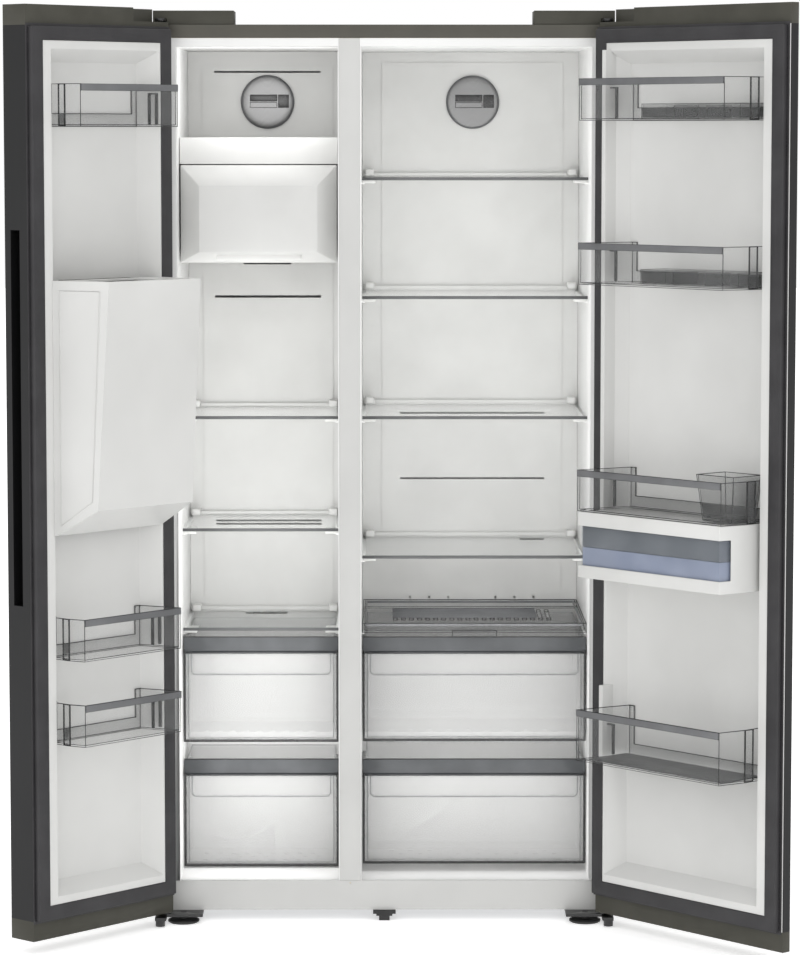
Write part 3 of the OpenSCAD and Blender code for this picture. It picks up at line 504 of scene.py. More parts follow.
def block(name, low, high):
    """A box between two corners given in millimetres, with its place in its mesh."""
    only_none()
    centre = [(a + b) / 2 * MM for a, b in zip(low, high)]
    bpy.ops.mesh.primitive_cube_add(size=1, location=centre)
    obj = bpy.context.object
    obj.name = name
    obj.scale = [(b - a) * MM for a, b in zip(low, high)]
    bpy.ops.object.transform_apply(location=True, rotation=True, scale=True)
    return obj


def round_edges(obj, radius_mm, segments=2, angle=30):
    """Rounds every edge sharper than the angle, and shades the shape smooth between real corners."""
    only(obj)
    bevel = obj.modifiers.new("rounding", "BEVEL")
    bevel.width = radius_mm * MM
    bevel.segments = segments
    bevel.limit_method = "ANGLE"
    bevel.angle_limit = math.radians(angle)
    bevel.use_clamp_overlap = True
    bpy.ops.object.modifier_apply(modifier=bevel.name)
    bpy.ops.object.shade_smooth_by_angle(angle=math.radians(40))
    return obj


def copy_of(node, name):
    """A merged copy of a CAD node."""
    obj = bpy.data.objects.new(name, frame["nodes"][node].data.copy())
    bpy.context.scene.collection.objects.link(obj)
    edit(obj)
    bpy.ops.mesh.select_all(action="SELECT")
    bpy.ops.mesh.remove_doubles(threshold=0.01 * MM)
    bpy.ops.object.mode_set(mode="OBJECT")
    return obj


def sharp_edges(obj, angle=30):
    """The ends of each edge whose two faces meet at more than the angle."""
    meeting = {}
    for face in obj.data.polygons:
        for key in face.edge_keys:
            meeting.setdefault(key, []).append(face.normal)
    points = obj.data.vertices
    limit = math.radians(angle)
    return [(points[a].co.copy(), points[b].co.copy()) for (a, b), normals in meeting.items()
            if len(normals) == 2 and normals[0].angle(normals[1], 0) > limit]


def node_edges(node):
    """The sharp edges of a CAD node."""
    plain = copy_of(node, node + "_plain")
    runs = sharp_edges(plain)
    bpy.data.objects.remove(plain)
    return runs


def beads(name, runs, radius_mm):
    """Round beads along straight runs, as a new piece."""
    mesh = bpy.data.meshes.new(name)
    points = [end for run in runs for end in run]
    mesh.from_pydata(points, [(i, i + 1) for i in range(0, len(points), 2)], [])
    obj = bpy.data.objects.new(name, mesh)
    bpy.context.scene.collection.objects.link(obj)
    edit(obj, "VERT")
    bpy.ops.mesh.select_all(action="SELECT")
    bpy.ops.mesh.remove_doubles(threshold=0.05 * MM)
    only(obj)
    bpy.ops.object.convert(target="CURVE")
    curve = bpy.context.object
    curve.data.bevel_depth = radius_mm * MM
    curve.data.bevel_resolution = 1
    curve.data.use_fill_caps = True
    bpy.ops.object.convert(target="MESH")
    bpy.ops.object.shade_smooth_by_angle(angle=math.radians(50))
    return bpy.context.object


def join(name, pieces):
    """Joins pieces into one."""
    only(*pieces)
    bpy.ops.object.join()
    bpy.context.object.name = name
    return bpy.context.object


def frame_ring(name, low, high, width, axis=1):
    """A flat rectangular ring between two corners in millimetres, width wide, open along an axis."""
    obj = block(name, low, high)
    edit(obj)
    pick_faces(obj, lambda centre, normal: abs(normal[axis]) > 0.9)
    bpy.ops.mesh.inset(thickness=width * MM, use_individual=True)
    bpy.ops.mesh.bridge_edge_loops()
    bpy.ops.object.mode_set(mode="OBJECT")
    return obj


def shaped_block(name, low, high, radius, segments=3):
    """A block with rounded edges."""
    return round_edges(block(name, low, high), radius, segments)


def dress(obj, material, body=None, slot=None, replaced=()):
    """Gives a piece its one material, its body, its record slot and the CAD nodes it stands for."""
    obj.data.materials.clear()
    obj.data.materials.append(material)
    for face in obj.data.polygons:
        face.material_index = 0
    if body:
        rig.ride(obj, body)
    if slot:
        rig.slot(obj, slot)
    if replaced:
        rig.replaces(obj, *replaced)
    return obj


def dress_node(node, material):
    """A new finish on a CAD node that keeps its shape."""
    obj = frame["nodes"][node]
    if not obj.material_slots:
        obj.data.materials.append(material)
    for slot in obj.material_slots:
        slot.material = material
    return obj


def body_of(node):
    """The body a CAD node moves with."""
    for name, nodes in RECORD["behaviour"]["bodies"].items():
        if node in nodes:
            return name
    raise RuntimeError("no body holds " + node)


def slot_of(node):
    """The record's material slot of a CAD node."""
    return next(p["material_slot"] for p in RECORD["subparts"] if p["node"] == node)


def rounded(node, material, radius_mm, segments=2, angle=30):
    """A CAD node's shape with its edges rounded, standing for the node."""
    obj = copy_of(node, node + "_finished")
    round_edges(obj, radius_mm, segments, angle)
    return dress(obj, material, body_of(node), slot_of(node), (node,))


def hinge_turn(side, degrees):
    """A turn about a door's hinge."""
    joint = HINGES[side + "_door"]
    pivot = Matrix.Translation(Vector(joint["pos_m"]))
    return pivot @ Matrix.Rotation(math.radians(degrees), 4, Vector(joint["axis"])) @ pivot.inverted()


def closing_angle(side):
    """How far a door turns from its open place to closed, in degrees."""
    return HINGES[side + "_door"]["range_deg"][0]


def swing_open(obj, side):
    """Moves a piece modelled on the closed door to the door's open place."""
    obj.data.transform(hinge_turn(side, -closing_angle(side)))
    return obj


def door_mm(side, u, v, z):
    """A place on a closed door, from its outer edge, its seal's face and the floor, in millimetres."""
    x = CABINET.x_low + u
    return (x if side == "left" else -x, v - SEAL_PLAY, z)


def corners(side, u, v, z):
    """Low and high corner of a space on a closed door, in millimetres."""
    a = door_mm(side, u[0], v[0], z[0])
    b = door_mm(side, u[1], v[1], z[1])
    return [min(p, q) for p, q in zip(a, b)], [max(p, q) for p, q in zip(a, b)]


def door_block(name, side, u, v, z, radius=1.0, segments=3):
    """A rounded block on a door, given closed and left there."""
    return shaped_block(name, *corners(side, u, v, z), radius, segments)


class Limits:
    """A CAD node's box in millimetres, on its open door or, with closed_door, on that door closed."""

    def __init__(self, node, closed_door=None):
        low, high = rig.box(node)
        if closed_door:
            turn = hinge_turn(closed_door, closing_angle(closed_door))
            points = [turn @ v.co for v in frame["nodes"][node].data.vertices]
            low, high = ([pick(p[i] for p in points) for i in range(3)] for pick in (min, max))
        self.x_low, self.y_low, self.z_low = [c / MM for c in low]
        self.x_high, self.y_high, self.z_high = [c / MM for c in high]


def bin_spans(node):
    """The floor and top height of each separate tub of a node, from the lowest up."""
    ends = {}
    obj = frame["nodes"][node]
    parent = list(range(len(obj.data.vertices)))

    def root(i):
        while parent[i] != i:
            parent[i] = parent[parent[i]]
            i = parent[i]
        return i

    for edge in obj.data.edges:
        a, b = (root(i) for i in edge.vertices)
        parent[a] = b
    for i, vertex in enumerate(obj.data.vertices):
        ends.setdefault(root(i), []).append(vertex.co.z / MM)
    spans = sorted((min(z), max(z)) for z in ends.values() if max(z) - min(z) > 40)
    merged = []
    for low, high in spans:
        if merged and low < merged[-1][1]:
            merged[-1] = (merged[-1][0], max(high, merged[-1][1]))
        else:
            merged.append((low, high))
    return merged


CABINET = Limits("outer_shell")
FREEZER = Limits("freezer_back_panel")
FRIDGE = Limits("fridge_back_panel")

# Millimetres
SEAL_PLAY = 0.3         # from a closed door's seal to the cabinet
GRIP_STRIP = 28         # height of a drawer's grip strip
FRONT_FRAME = 4.4       # width of the frame round a drawer's front
TUB_WALL = 3.1          # floor of a drawer or bin, with a little air over it
# Door bins on the closed doors: the hinge end and the free end from the door's outer edge, and how
# far they reach from the seal's face
LEFT_BIN = dict(side="left", start=56, end=308, reach=49)
RIGHT_BIN = dict(side="right", start=61, end=437.4, reach=82)
# Each compartment's soft light: how tall its lamp is, and how much stronger than the setting
ROOM_LIGHT = {"freezer": (1150, 1.7), "fridge": (1600, 1.0)}


# ---- settings a user would change


class FridgeSizes(bpy.types.PropertyGroup):
    """Sizes of the pieces that finish the refrigerator."""
    edge: FloatProperty(name="Moulded edge", description="Radius on moulded plastic edges, in millimetres",
                        default=2.0, min=0.2, max=8.0)
    bead: FloatProperty(name="Bin edge", description="Radius of the clear bins' edges, in millimetres",
                        default=0.9, min=0.3, max=2.0)
    fan_ring: FloatProperty(name="Fan ring", description="Radius of a fan cover's disc, in millimetres",
                            default=51.5, min=20.0, max=60.0)


class FridgeStage(bpy.types.PropertyGroup):
    """Camera and light."""
    eye: FloatVectorProperty(name="Camera place", description="Where the camera stands",
                             subtype="TRANSLATION", unit="LENGTH", size=3, default=(-0.00122, -7.16107, 1.55027))
    tilt: FloatProperty(name="Camera tilt", description="How far the camera looks down", subtype="ANGLE",
                        default=math.radians(5.3445))
    yaw: FloatProperty(name="Camera turn", description="How far the camera looks to the right",
                       subtype="ANGLE", default=0.0045)
    lens: FloatProperty(name="Lens", description="Focal length in millimetres", default=138.31)
    daylight: FloatProperty(name="Daylight", description="Strength of the white surroundings", default=1.0)
    fill: FloatProperty(name="Fill", description="Watts of soft light for each square millimetre of lamp",
                        default=3.2e-6, precision=6)


# ---- pieces

class FRIDGE_OT_cabinet(bpy.types.Operator):
    """Finishes the shell, liners, panels and front strips"""
    bl_idname = "fridge.cabinet"
    bl_label = "Cabinet"

    def execute(self, context):
        edge = context.scene.fridge_sizes.edge
        rounded("outer_shell", finish("olive_steel"), 0.6)
        rounded("freezer_liner", finish("formed_polystyrene"), 2 * edge, 3)
        rounded("fridge_liner", finish("formed_polystyrene"), 2 * edge, 3)
        rounded("mullion_cover", finish("coated_white_steel"), 1.0)
        dress_node("toe_panel", finish("coated_white_steel"))
        dress_node("freezer_back_panel", finish("moulded_abs_white"))
        dress_node("fridge_back_panel", finish("moulded_abs_white"))
        dress_node("rear_panel", finish("zinc_steel"))
        dress_node("base_frame", finish("zinc_steel"))
        dress_node("cabinet_foam", finish("foamed_polyurethane"))
        return {"FINISHED"}


class FRIDGE_OT_fans(bpy.types.Operator):
    """Finishes both round fan covers: a grey ring around a spun disc with a blank badge"""
    bl_idname = "fridge.fans"
    bl_label = "Fan covers"

    def execute(self, context):
        rounded("fan_covers", finish("slate_trim"), 0.8)
        radius = context.scene.fridge_sizes.fan_ring
        cover = Limits("fan_covers")
        reach = (cover.z_high - cover.z_low) / 2
        middle = (cover.z_high + cover.z_low) / 2
        for side, x, y in (("freezer", cover.x_low + reach, FREEZER.y_low),
                           ("fridge", cover.x_high - reach, FRIDGE.y_low)):
            centre = (x * MM, (y - 8.3) * MM, middle * MM)
            only_none()
            bpy.ops.mesh.primitive_cylinder_add(vertices=96, radius=radius * MM, depth=3 * MM,
                                                rotation=(math.pi / 2, 0, 0), location=centre)
            disc = context.object
            bpy.ops.object.transform_apply(location=True, rotation=True, scale=True)
            disc.name = side + "_fan_disc"
            edit(disc)
            pick_faces(disc, lambda centre, normal: normal.y < -0.9)
            bpy.ops.mesh.inset(thickness=3 * MM, depth=0.6 * MM)
            bpy.ops.mesh.inset(thickness=9 * MM, depth=0.5 * MM)
            bpy.ops.mesh.inset(thickness=26 * MM, depth=-0.8 * MM)
            round_edges(disc, 0.3, 2)
            dress(disc, turned_aluminium(side + "_fan_aluminium", centre), "cabinet", "steel_disc")
            face, back = y - 12.6, y - 9.0
            plates = [
                shaped_block("plate", (x - 36, face, middle + 1), (x + 20, back, middle + 15), 0.8),
                shaped_block("plate", (x + 22, face, middle - 12), (x + 44, back, middle + 15), 0.8),
                frame_ring("plate", (x - 36, y - 12.2, middle - 12), (x + 20, back, middle - 0.5), 1.2)]
            dress(join(side + "_fan_badge", plates), finish("badge_ink"), "cabinet", "grey_trim")
        return {"FINISHED"}


class FRIDGE_OT_shelves(bpy.types.Operator):
    """Finishes the glass shelves: slate front strips, white rear strips and side clips"""
    bl_idname = "fridge.shelves"
    bl_label = "Shelves"

    def execute(self, context):
        middle = 200 * MM       # between the front strips and the rear strips
        front = copy_of("shelf_trims", "shelf_front_strips")
        rear = copy_of("shelf_trims", "shelf_rear_strips")
        for strip, keep in ((front, lambda c: c.y < middle), (rear, lambda c: c.y >= middle)):
            edit(strip)
            pick_faces(strip, lambda centre, normal: not keep(centre))
            bpy.ops.mesh.delete(type="VERT")
            round_edges(strip, 0.9, 3)
        dress(front, finish("graphite_abs"), "cabinet", "grey_trim", ("shelf_trims",))
        dress(rear, finish("moulded_abs_white"), "cabinet", "white_plastic")
        for node in [n for n in frame["nodes"] if "_shelf_" in n]:
            dress_node(node, finish("float_glass"))
            glass = Limits(node)
            clips = []
            for x in (glass.x_low + 14, glass.x_high - 14):
                clips.append(shaped_block("clip", (x - 13, glass.y_low + 6, glass.z_low - 7),
                                          (x + 13, glass.y_low + 70, glass.z_low - 0.3), 2.0))
                clips.append(shaped_block("clip", (x - 9, glass.y_high - 40, glass.z_high + 0.4),
                                          (x + 9, glass.y_high - 6, glass.z_high + 14), 3.0))
            dress(join(node + "_clips", clips), finish("moulded_abs_white"), "cabinet", "white_plastic")
        return {"FINISHED"}


class FRIDGE_OT_ice(bpy.types.Operator):
    """Finishes the ice maker and its bucket"""
    bl_idname = "fridge.ice"
    bl_label = "Ice maker"

    def execute(self, context):
        edge = context.scene.fridge_sizes.edge
        rounded("ice_maker", finish("moulded_abs_white"), 0.8)
        rounded("ice_bucket", finish("moulded_abs_white"), edge, 3)
        return {"FINISHED"}


class FRIDGE_OT_drawers(bpy.types.Operator):
    """Finishes the four drawers: clear tubs with a slate grip strip and a dark front frame"""
    bl_idname = "fridge.drawers"
    bl_label = "Drawers"

    def execute(self, context):
        bead = context.scene.fridge_sizes.bead
        for node in [n for n in frame["nodes"] if "_drawer_" in n]:
            box = Limits(node)
            slot = slot_of(node)
            runs = node_edges(node)
            rounded(node, finish("frosted_styrene"), 1.0)
            inner = [run for run in runs if min(run[0].y, run[1].y) > (box.y_low + 5) * MM]
            dress(beads(node + "_edge_beads", inner, 0.5 * bead), finish("milky_edge"), node, slot)
            strip_low = box.z_high - GRIP_STRIP
            strip = shaped_block(node + "_grip", (box.x_low + 0.3, box.y_low - 2, strip_low),
                                 (box.x_high - 0.3, box.y_low + 7, box.z_high), 1.6)
            edit(strip)
            pick_faces(strip, lambda centre, normal: normal.z < -0.9)
            bpy.ops.mesh.inset(thickness=1.6 * MM, depth=0)
            bpy.ops.mesh.inset(thickness=0.2 * MM, depth=-5 * MM)
            bpy.ops.object.mode_set(mode="OBJECT")
            dress(strip, finish("slate_strip"), node, "grey_trim")
            ring = frame_ring(node + "_frame", (box.x_low, box.y_low - 1.2, box.z_low - 1.2),
                              (box.x_high, box.y_low + 7, box.z_high + 1), FRONT_FRAME)
            dress(round_edges(ring, 1.2, 3), finish("badge_ink"), node, "grey_trim")
            self.front_lines(node, box, strip_low)
            self.floor_ribs(node, box)
        return {"FINISHED"}

    def front_lines(self, node, box, top):
        """The pressed step and the rim of a drawer's clear front, as lines hanging from its grip strip"""
        y = box.y_low + 3.4
        left, right = box.x_low + 16, box.x_high - 16
        step, round_in = top - 48, 6
        foot = box.z_low + 7
        for name, radius, path in (
                ("_front_step", 1.1, ((left, top), (left, step + round_in), (left + round_in, step),
                                      (right - round_in, step), (right, step + round_in), (right, top))),
                ("_front_rim", 0.9, ((left - 6, top), (left - 6, foot),
                                     (right + 6, foot), (right + 6, top)))):
            points = [Vector((x * MM, y * MM, z * MM)) for x, z in path]
            dress(beads(node + name, list(zip(points, points[1:])), radius), finish("step_shadow"), node,
                  slot_of(node))

    def floor_ribs(self, node, box, across=9, rows=3):
        """Short ribs standing on a drawer's floor, in staggered rows"""
        floor = box.z_low + TUB_WALL
        ribs = []
        for i in range(across):
            for k in range(rows):
                x = box.x_low + (box.x_high - box.x_low) * (i + 1.5 + 0.5 * (k % 2)) / (across + 2.5)
                y = box.y_low + 40 + 34 * k
                ribs.append(shaped_block("rib", (x - 5, y - 1.5, floor),
                                         (x + 5, y + 1.5, floor + 2.5), 1.0, 2))
        dress(join(node + "_floor_ribs", ribs), finish("milky_edge"), node, slot_of(node))


class FRIDGE_OT_tray(bpy.types.Operator):
    """Finishes the chill tray: a smoked tub with dark edges, a grid floor and a rim ring"""
    bl_idname = "fridge.tray"
    bl_label = "Chill tray"

    def execute(self, context):
        node = "chill_tray"
        slot = slot_of(node)
        dress_node(node, finish("smoked_styrene"))
        dress(beads(node + "_edge_beads", node_edges(node), 0.8), finish("smoked_edge"), node, slot)
        box = Limits(node)
        bars = []
        low, high = box.x_low + 60, box.x_high - 90
        for i in range(11):
            y = box.y_high - 60 - 13 * i
            bars.append(shaped_block("bar", (low, y - 1.2, box.z_low + 12.5),
                                     (high, y + 1.2, box.z_low + 15), 0.6, 2))
        bars.append(frame_ring("rim", (box.x_low + 6, box.y_low + 16, box.z_high - 6),
                               (box.x_high - 6, box.y_high - 6, box.z_high - 2), 2.5, axis=2))
        dress(join(node + "_grid", bars), finish("slate_trim"), node, slot)
        return {"FINISHED"}


class FRIDGE_OT_doors(bpy.types.Operator):
    """Finishes the doors' skins, ends, liners and seals"""
    bl_idname = "fridge.doors"
    bl_label = "Doors"

    def execute(self, context):
        edge = context.scene.fridge_sizes.edge
        for side in ("left", "right"):
            dress_node(side + "_door_shell", finish("black_steel"))
            rounded(side + "_door_caps", finish("olive_abs"), 1.2)
            rounded(side + "_door_liner", finish("door_polystyrene"), 2 * edge, 3)
            rounded(side + "_seal", finish("seal_pvc"), 2.0, 3)
            seal = Limits(side + "_seal", side)
            foot = frame_ring(side + "_gasket_foot", (seal.x_low - 5, seal.y_low - 0.8, seal.z_low - 5),
                              (seal.x_high + 5, seal.y_low + 0.9, seal.z_high + 5), 5.6)
            dress(swing_open(round_edges(foot, 0.4, 2), side), finish("seal_pvc"), side + "_door",
                  slot_of(side + "_seal"))
            dress_node(side + "_door_foam", finish("foamed_polyurethane"))
        return {"FINISHED"}


class FRIDGE_OT_bins(bpy.types.Operator):
    """Finishes the clear door bins: grey rails, dark edges, end clips and brackets"""
    bl_idname = "fridge.bins"
    bl_label = "Door bins"

    def execute(self, context):
        bead = context.scene.fridge_sizes.bead
        for bins in (LEFT_BIN, RIGHT_BIN):
            side = bins["side"]
            node = side + "_door_bins"
            runs = node_edges(node)
            rounded(node, finish("smoked_styrene"), 0.8)
            dress(beads(node + "_edge_beads", runs, 0.75 * bead), finish("smoked_edge"), side + "_door",
                  slot_of(node))
            rails, ends, brackets, outlines = [], [], [], []
            for floor, top in bin_spans(node):
                rails.append(door_block("rail", side, (bins["start"] - 0.5, bins["end"]),
                                        (bins["reach"] - 0.6, bins["reach"] + 2.6),
                                        (top - 12.5, top + 0.3), 0.8))
                free = bins["end"] + 9.8
                cap = door_block("cap", side, (free - 1.6, free + 0.6), (-1, bins["reach"] * 0.15 + 9),
                                 (floor + 1, top), 0.4, 1)
                outlines += sharp_edges(cap)
                ends.append(cap)
                u = bins["start"] + (14 if side == "left" else 5)
                for u_range, z_range in (((u - 10, u - 7), (floor + 4, floor + 64)),
                                         ((u + 9, u + 12), (floor + 4, floor + 64)),
                                         ((u - 10, u + 12), (floor + 61, floor + 64))):
                    brackets.append(door_block("bracket", side, u_range, (-6, 1), z_range, 0.8, 2))
            for piece, stock, slot in (
                    (join(side + "_bin_rails", rails), "slate_trim", "grey_trim"),
                    (join(side + "_bin_ends", ends), "smoked_styrene", "smoke_plastic"),
                    (beads(side + "_bin_end_edges", outlines, 0.9), "smoked_edge", "smoke_plastic"),
                    (join(side + "_bin_brackets", brackets), "smoked_edge", "smoke_plastic")):
                dress(swing_open(piece, side), finish(stock), side + "_door", slot)
        return {"FINISHED"}


class FRIDGE_OT_inserts(bpy.types.Operator):
    """Adds what stands in the fridge door's bins: two divided trays, a cup and a mat"""
    bl_idname = "fridge.inserts"
    bl_label = "Bin inserts"

    def execute(self, context):
        floors = [low for low, high in bin_spans("right_door_bins")]
        mat_floor, cup_floor, second_floor, first_floor = floors
        for name, floor in (("upper", second_floor), ("top", first_floor)):
            tray = block(name, *corners("right", (191, 444), (-22, 46), (floor + 3.4, floor + 31)))
            edit(tray)
            pick_faces(tray, lambda centre, normal: normal.z > 0.9)
            bpy.ops.mesh.inset(thickness=1.6 * MM, depth=0)
            bpy.ops.mesh.inset(thickness=0.6 * MM, depth=-25 * MM)
            bpy.ops.object.mode_set(mode="OBJECT")
            walls = [tray]
            for i in range(2):
                u = 191 + 84 * (i + 1)
                walls.append(block("wall", *corners("right", (u - 0.8, u + 0.8), (-21, 45),
                                                    (floor + 5, floor + 27))))
            tray = join(name + "_divided_tray", walls)
            runs = sharp_edges(tray)
            round_edges(tray, 0.6, 2)
            dress(swing_open(tray, "right"), finish("smoked_styrene"), "right_door", "smoke_plastic")
            edges = beads(name + "_divided_tray_edges", runs, 0.35)
            dress(swing_open(edges, "right"), finish("smoked_edge"), "right_door", "smoke_plastic")
        cup = block("utility_cup", *corners("right", (352, 446), (-20, 58),
                                            (cup_floor + 3.4, cup_floor + 89)))
        edit(cup)
        pick_faces(cup, lambda centre, normal: normal.z < -0.9)
        bpy.ops.transform.resize(value=(0.78, 0.82, 1))
        pick_faces(cup, lambda centre, normal: normal.z > 0.9)
        bpy.ops.mesh.inset(thickness=2 * MM, depth=0)
        bpy.ops.mesh.inset(thickness=8 * MM, depth=-80 * MM)
        bpy.ops.object.mode_set(mode="OBJECT")
        runs = sharp_edges(cup)
        round_edges(cup, 2.5, 3)
        dress(swing_open(cup, "right"), finish("smoked_styrene"), "right_door", "smoke_plastic")
        edges = beads("utility_cup_edges", runs, 0.7)
        dress(swing_open(edges, "right"), finish("smoked_edge"), "right_door", "smoke_plastic")
        mat = door_block("bottle_mat", "right", (86, 440), (-30, 74),
                         (mat_floor + 3.3, mat_floor + 5.5), 0.6, 2)
        dress(swing_open(mat, "right"), finish("graphite_abs"), "right_door", "grey_trim")
        return {"FINISHED"}


class FRIDGE_OT_dispenser(bpy.types.Operator):
    """Finishes the ice chute, the dispenser, the tank and its holder"""
    bl_idname = "fridge.dispenser"
    bl_label = "Chute, dispenser and tank"

    def execute(self, context):
        edge = context.scene.fridge_sizes.edge
        self.chute()
        rounded("dispenser_housing", finish("olive_abs"), 1.0)
        rounded("tank_holder", finish("moulded_abs_white"), edge, 3)
        self.tank(edge)
        dress_node("dispenser_paddle", finish("fin_aluminium"))
        dress_node("chute_flap", finish("black_rubber"))
        rounded("drip_tray", finish("fin_aluminium"), 0.4)
        return {"FINISHED"}

    def tank(self, edge):
        """The water tank, with the water standing in it and a grey fill of painted shade in the air space above"""
        rounded("water_tank", finish("tank_styrene"), edge, 3)
        tank = Limits("water_tank")
        level = tank.z_low + 0.56 * (tank.z_high - tank.z_low)
        # The air space over the water is filled with a grey solid that paints the shade of the empty tank
        for name, stock, above in (("tank_water", "tank_water", False),
                                   ("tank_air_space", "smoky_air", True)):
            part = copy_of("water_tank", name)
            edit(part)
            bpy.ops.mesh.select_all(action="SELECT")
            bpy.ops.mesh.bisect(plane_co=(0, 0, level * MM), plane_no=(0, 0, 1), use_fill=True,
                                clear_inner=above, clear_outer=not above)
            bpy.ops.object.mode_set(mode="OBJECT")
            centre = sum((v.co for v in part.data.vertices), Vector()) / len(part.data.vertices)
            for vertex in part.data.vertices:
                vertex.co = centre + 0.985 * (vertex.co - centre)
            round_edges(part, 0.8, 2)
            dress(part, finish(stock), "right_door", slot_of("water_tank"))

    def chute(self):
        """The chute housing, with a double line pressed into its free side"""
        dress_node("chute_housing", finish("door_polystyrene"))
        mesh = frame["nodes"]["chute_housing"].data
        turn = math.radians(closing_angle("left"))
        out = Vector((math.cos(turn), math.sin(turn), 0))
        side = max((f for f in mesh.polygons if f.normal.dot(out) > 0.85), key=lambda f: f.area)
        facet = [f for f in mesh.polygons if f.normal.dot(side.normal) > 0.9998
                 and abs((f.center - side.center).dot(side.normal)) < 0.2 * MM]
        points = [mesh.vertices[i].co for f in facet for i in f.vertices]
        centre = sum(points, Vector()) / len(points)
        up = Vector((0, 0, 1))
        across = up.cross(side.normal).normalized()
        tips = [max(points, key=lambda p: (p - centre).dot(a * across + b * up))
                for a, b in ((1, 1), (1, -1), (-1, -1), (-1, 1))]
        middle = sum(tips, Vector()) / 4
        proud = 0.1 * MM * side.normal
        runs = []
        for share in (0.74, 0.70):
            inner = [middle + share * (tip - middle) + (0.92 - share) * (tip - middle).dot(up) * up + proud
                     for tip in tips]
            runs += [(inner[k], inner[(k + 1) % 4]) for k in range(4)]
        dress(beads("chute_panel_lines", runs, 0.8), finish("door_polystyrene"), "left_door",
              slot_of("chute_housing"))


class FRIDGE_OT_hinges(bpy.types.Operator):
    """Finishes the hinges, their covers and the feet"""
    bl_idname = "fridge.hinges"
    bl_label = "Hinges and feet"

    def execute(self, context):
        rounded("hinge_brackets", finish("enamelled_coil"), 0.6)
        rounded("hinge_covers", finish("olive_abs"), 1.5)
        rounded("centre_foot", finish("black_rubber"), 1.0)
        for node in ("front_foot_left", "front_foot_right", "rear_rollers"):
            dress_node(node, finish("black_rubber"))
        return {"FINISHED"}


class FRIDGE_OT_machinery(bpy.types.Operator):
    """Finishes the compressor compartment and the evaporator"""
    bl_idname = "fridge.machinery"
    bl_label = "Machinery"

    def execute(self, context):
        for node in ("compressor", "condenser"):
            dress_node(node, finish("enamelled_coil"))
        for node in ("condenser_fan", "evaporator_fan", "drain_pan", "control_box", "power_inlet"):
            dress_node(node, finish("black_rubber"))
        dress_node("evaporator", finish("fin_aluminium"))
        rounded("machine_cover", finish("zinc_steel"), 0.3)
        return {"FINISHED"}


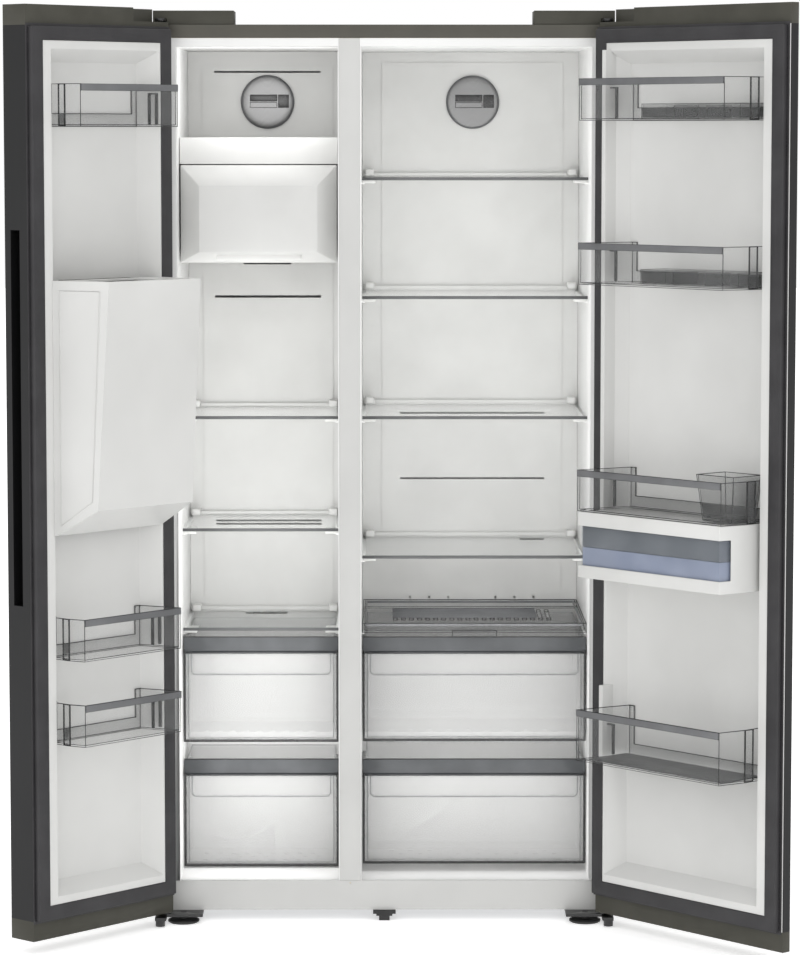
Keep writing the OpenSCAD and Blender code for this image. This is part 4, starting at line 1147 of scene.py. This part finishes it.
class FRIDGE_OT_stage(bpy.types.Operator):
    """Sets the floor, the studio light and the camera"""
    bl_idname = "fridge.stage"
    bl_label = "Stage"

    def execute(self, context):
        settings = context.scene.fridge_stage
        only_none()
        bpy.ops.mesh.primitive_plane_add(size=60)
        floor = context.object
        floor.name = "studio_floor"
        dress(floor, finish("studio_floor"))
        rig.stage(floor)
        world = bpy.data.worlds.new("studio")
        context.scene.world = world
        world.use_nodes = True
        world.node_tree.nodes["Background"].inputs["Color"].default_value = (1, 1, 1, 1)
        world.node_tree.nodes["Background"].inputs["Strength"].default_value = settings.daylight
        lamps = [("front_left", (-2.4, -5.4, 2.0), (0, 0, 0.9), 2.6, 2.6, 16),
                 ("front_right", (2.4, -5.4, 2.0), (0, 0, 0.9), 2.6, 2.6, 16),
                 ("overhead", (0, -1.2, 4.4), (0, -0.2, 0.9), 2.6, 2.6, 10)]
        for name, room in (("freezer", FREEZER), ("fridge", FRIDGE)):
            x = (room.x_low + room.x_high) / 2 * MM
            width = room.x_high - room.x_low
            height, share = ROOM_LIGHT[name]
            z = (100 + height / 2) * MM
            lamps.append((name + "_fill", (x, 0.005, z), (x, 0.5, z), (width - 30) * MM, height * MM,
                          settings.fill * width * height * share))
            # A thin lamp over each lower drawer, where the upper one shades its back wall
            lower, upper = Limits(name + "_drawer_lower"), Limits(name + "_drawer_upper")
            z = (lower.z_high + upper.z_low) / 2 * MM
            lamps.append((name + "_drawer_gap", (x, (lower.y_low + 12) * MM, z), (x, 0.5, z - 0.04),
                          (width - 40) * MM, 0.012, 0.0005 * width))
        x = (FREEZER.x_low + FREEZER.x_high) / 2 * MM
        lamps.append(("above_ice_maker", (x, 0.03, 1.63), (x, 0.5, 1.63), 0.25, 0.14, 0.40))
        # Each lamp: its name, place, aim, width, height and watts
        for name, place, aim, width, height, power in lamps:
            only_none()
            bpy.ops.object.light_add(type="AREA", location=place)
            lamp = context.object
            lamp.name = "light_" + name
            lamp.rotation_euler = (Vector(aim) - Vector(place)).to_track_quat("-Z", "Y").to_euler()
            lamp.data.shape = "RECTANGLE"
            lamp.data.size = width
            lamp.data.size_y = height
            lamp.data.energy = power
            lamp.visible_camera = False
        only_none()
        bpy.ops.object.camera_add(location=settings.eye,
                                  rotation=(math.pi / 2 - settings.tilt, 0, -settings.yaw))
        camera = context.object
        camera.data.lens = settings.lens
        camera.data.sensor_width = 36
        camera.data.clip_end = 100
        context.scene.camera = camera
        context.scene.view_settings.view_transform = "Standard"
        return {"FINISHED"}


class FRIDGE_PT_panel(bpy.types.Panel):
    """Lists the refrigerator's operators and settings"""
    bl_idname = "FRIDGE_PT_panel"
    bl_label = "Refrigerator"
    bl_space_type = "VIEW_3D"
    bl_region_type = "UI"
    bl_category = "Fridge"

    def draw(self, context):
        for group in (context.scene.fridge_sizes, context.scene.fridge_stage):
            for key in group.bl_rna.properties.keys():
                if key not in ("rna_type", "name"):
                    self.layout.prop(group, key)
        for piece in PIECES:
            self.layout.operator(piece.bl_idname)


PIECES = (FRIDGE_OT_cabinet, FRIDGE_OT_fans, FRIDGE_OT_shelves, FRIDGE_OT_ice, FRIDGE_OT_drawers,
          FRIDGE_OT_tray, FRIDGE_OT_doors, FRIDGE_OT_bins, FRIDGE_OT_inserts, FRIDGE_OT_dispenser,
          FRIDGE_OT_hinges, FRIDGE_OT_machinery, FRIDGE_OT_stage)
CLASSES = (FridgeSizes, FridgeStage) + PIECES + (FRIDGE_PT_panel,)


def register():
    for item in CLASSES:
        bpy.utils.register_class(item)
    bpy.types.Scene.fridge_sizes = PointerProperty(type=FridgeSizes)
    bpy.types.Scene.fridge_stage = PointerProperty(type=FridgeStage)


def unregister():
    del bpy.types.Scene.fridge_stage
    del bpy.types.Scene.fridge_sizes
    for item in reversed(CLASSES):
        bpy.utils.unregister_class(item)


def main():
    register()
    for piece in PIECES:
        group, action = piece.bl_idname.split(".")
        getattr(getattr(bpy.ops, group), action)()
    # The CAD model's box and the visual model's, in metres
    boxes = {"cad": [list(c) for c in CAD_BOX], "visual": [list(c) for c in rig.bounds()]}
    with open("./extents.json", "w") as out:
        json.dump(boxes, out)


if __name__ == "__main__":
    main()
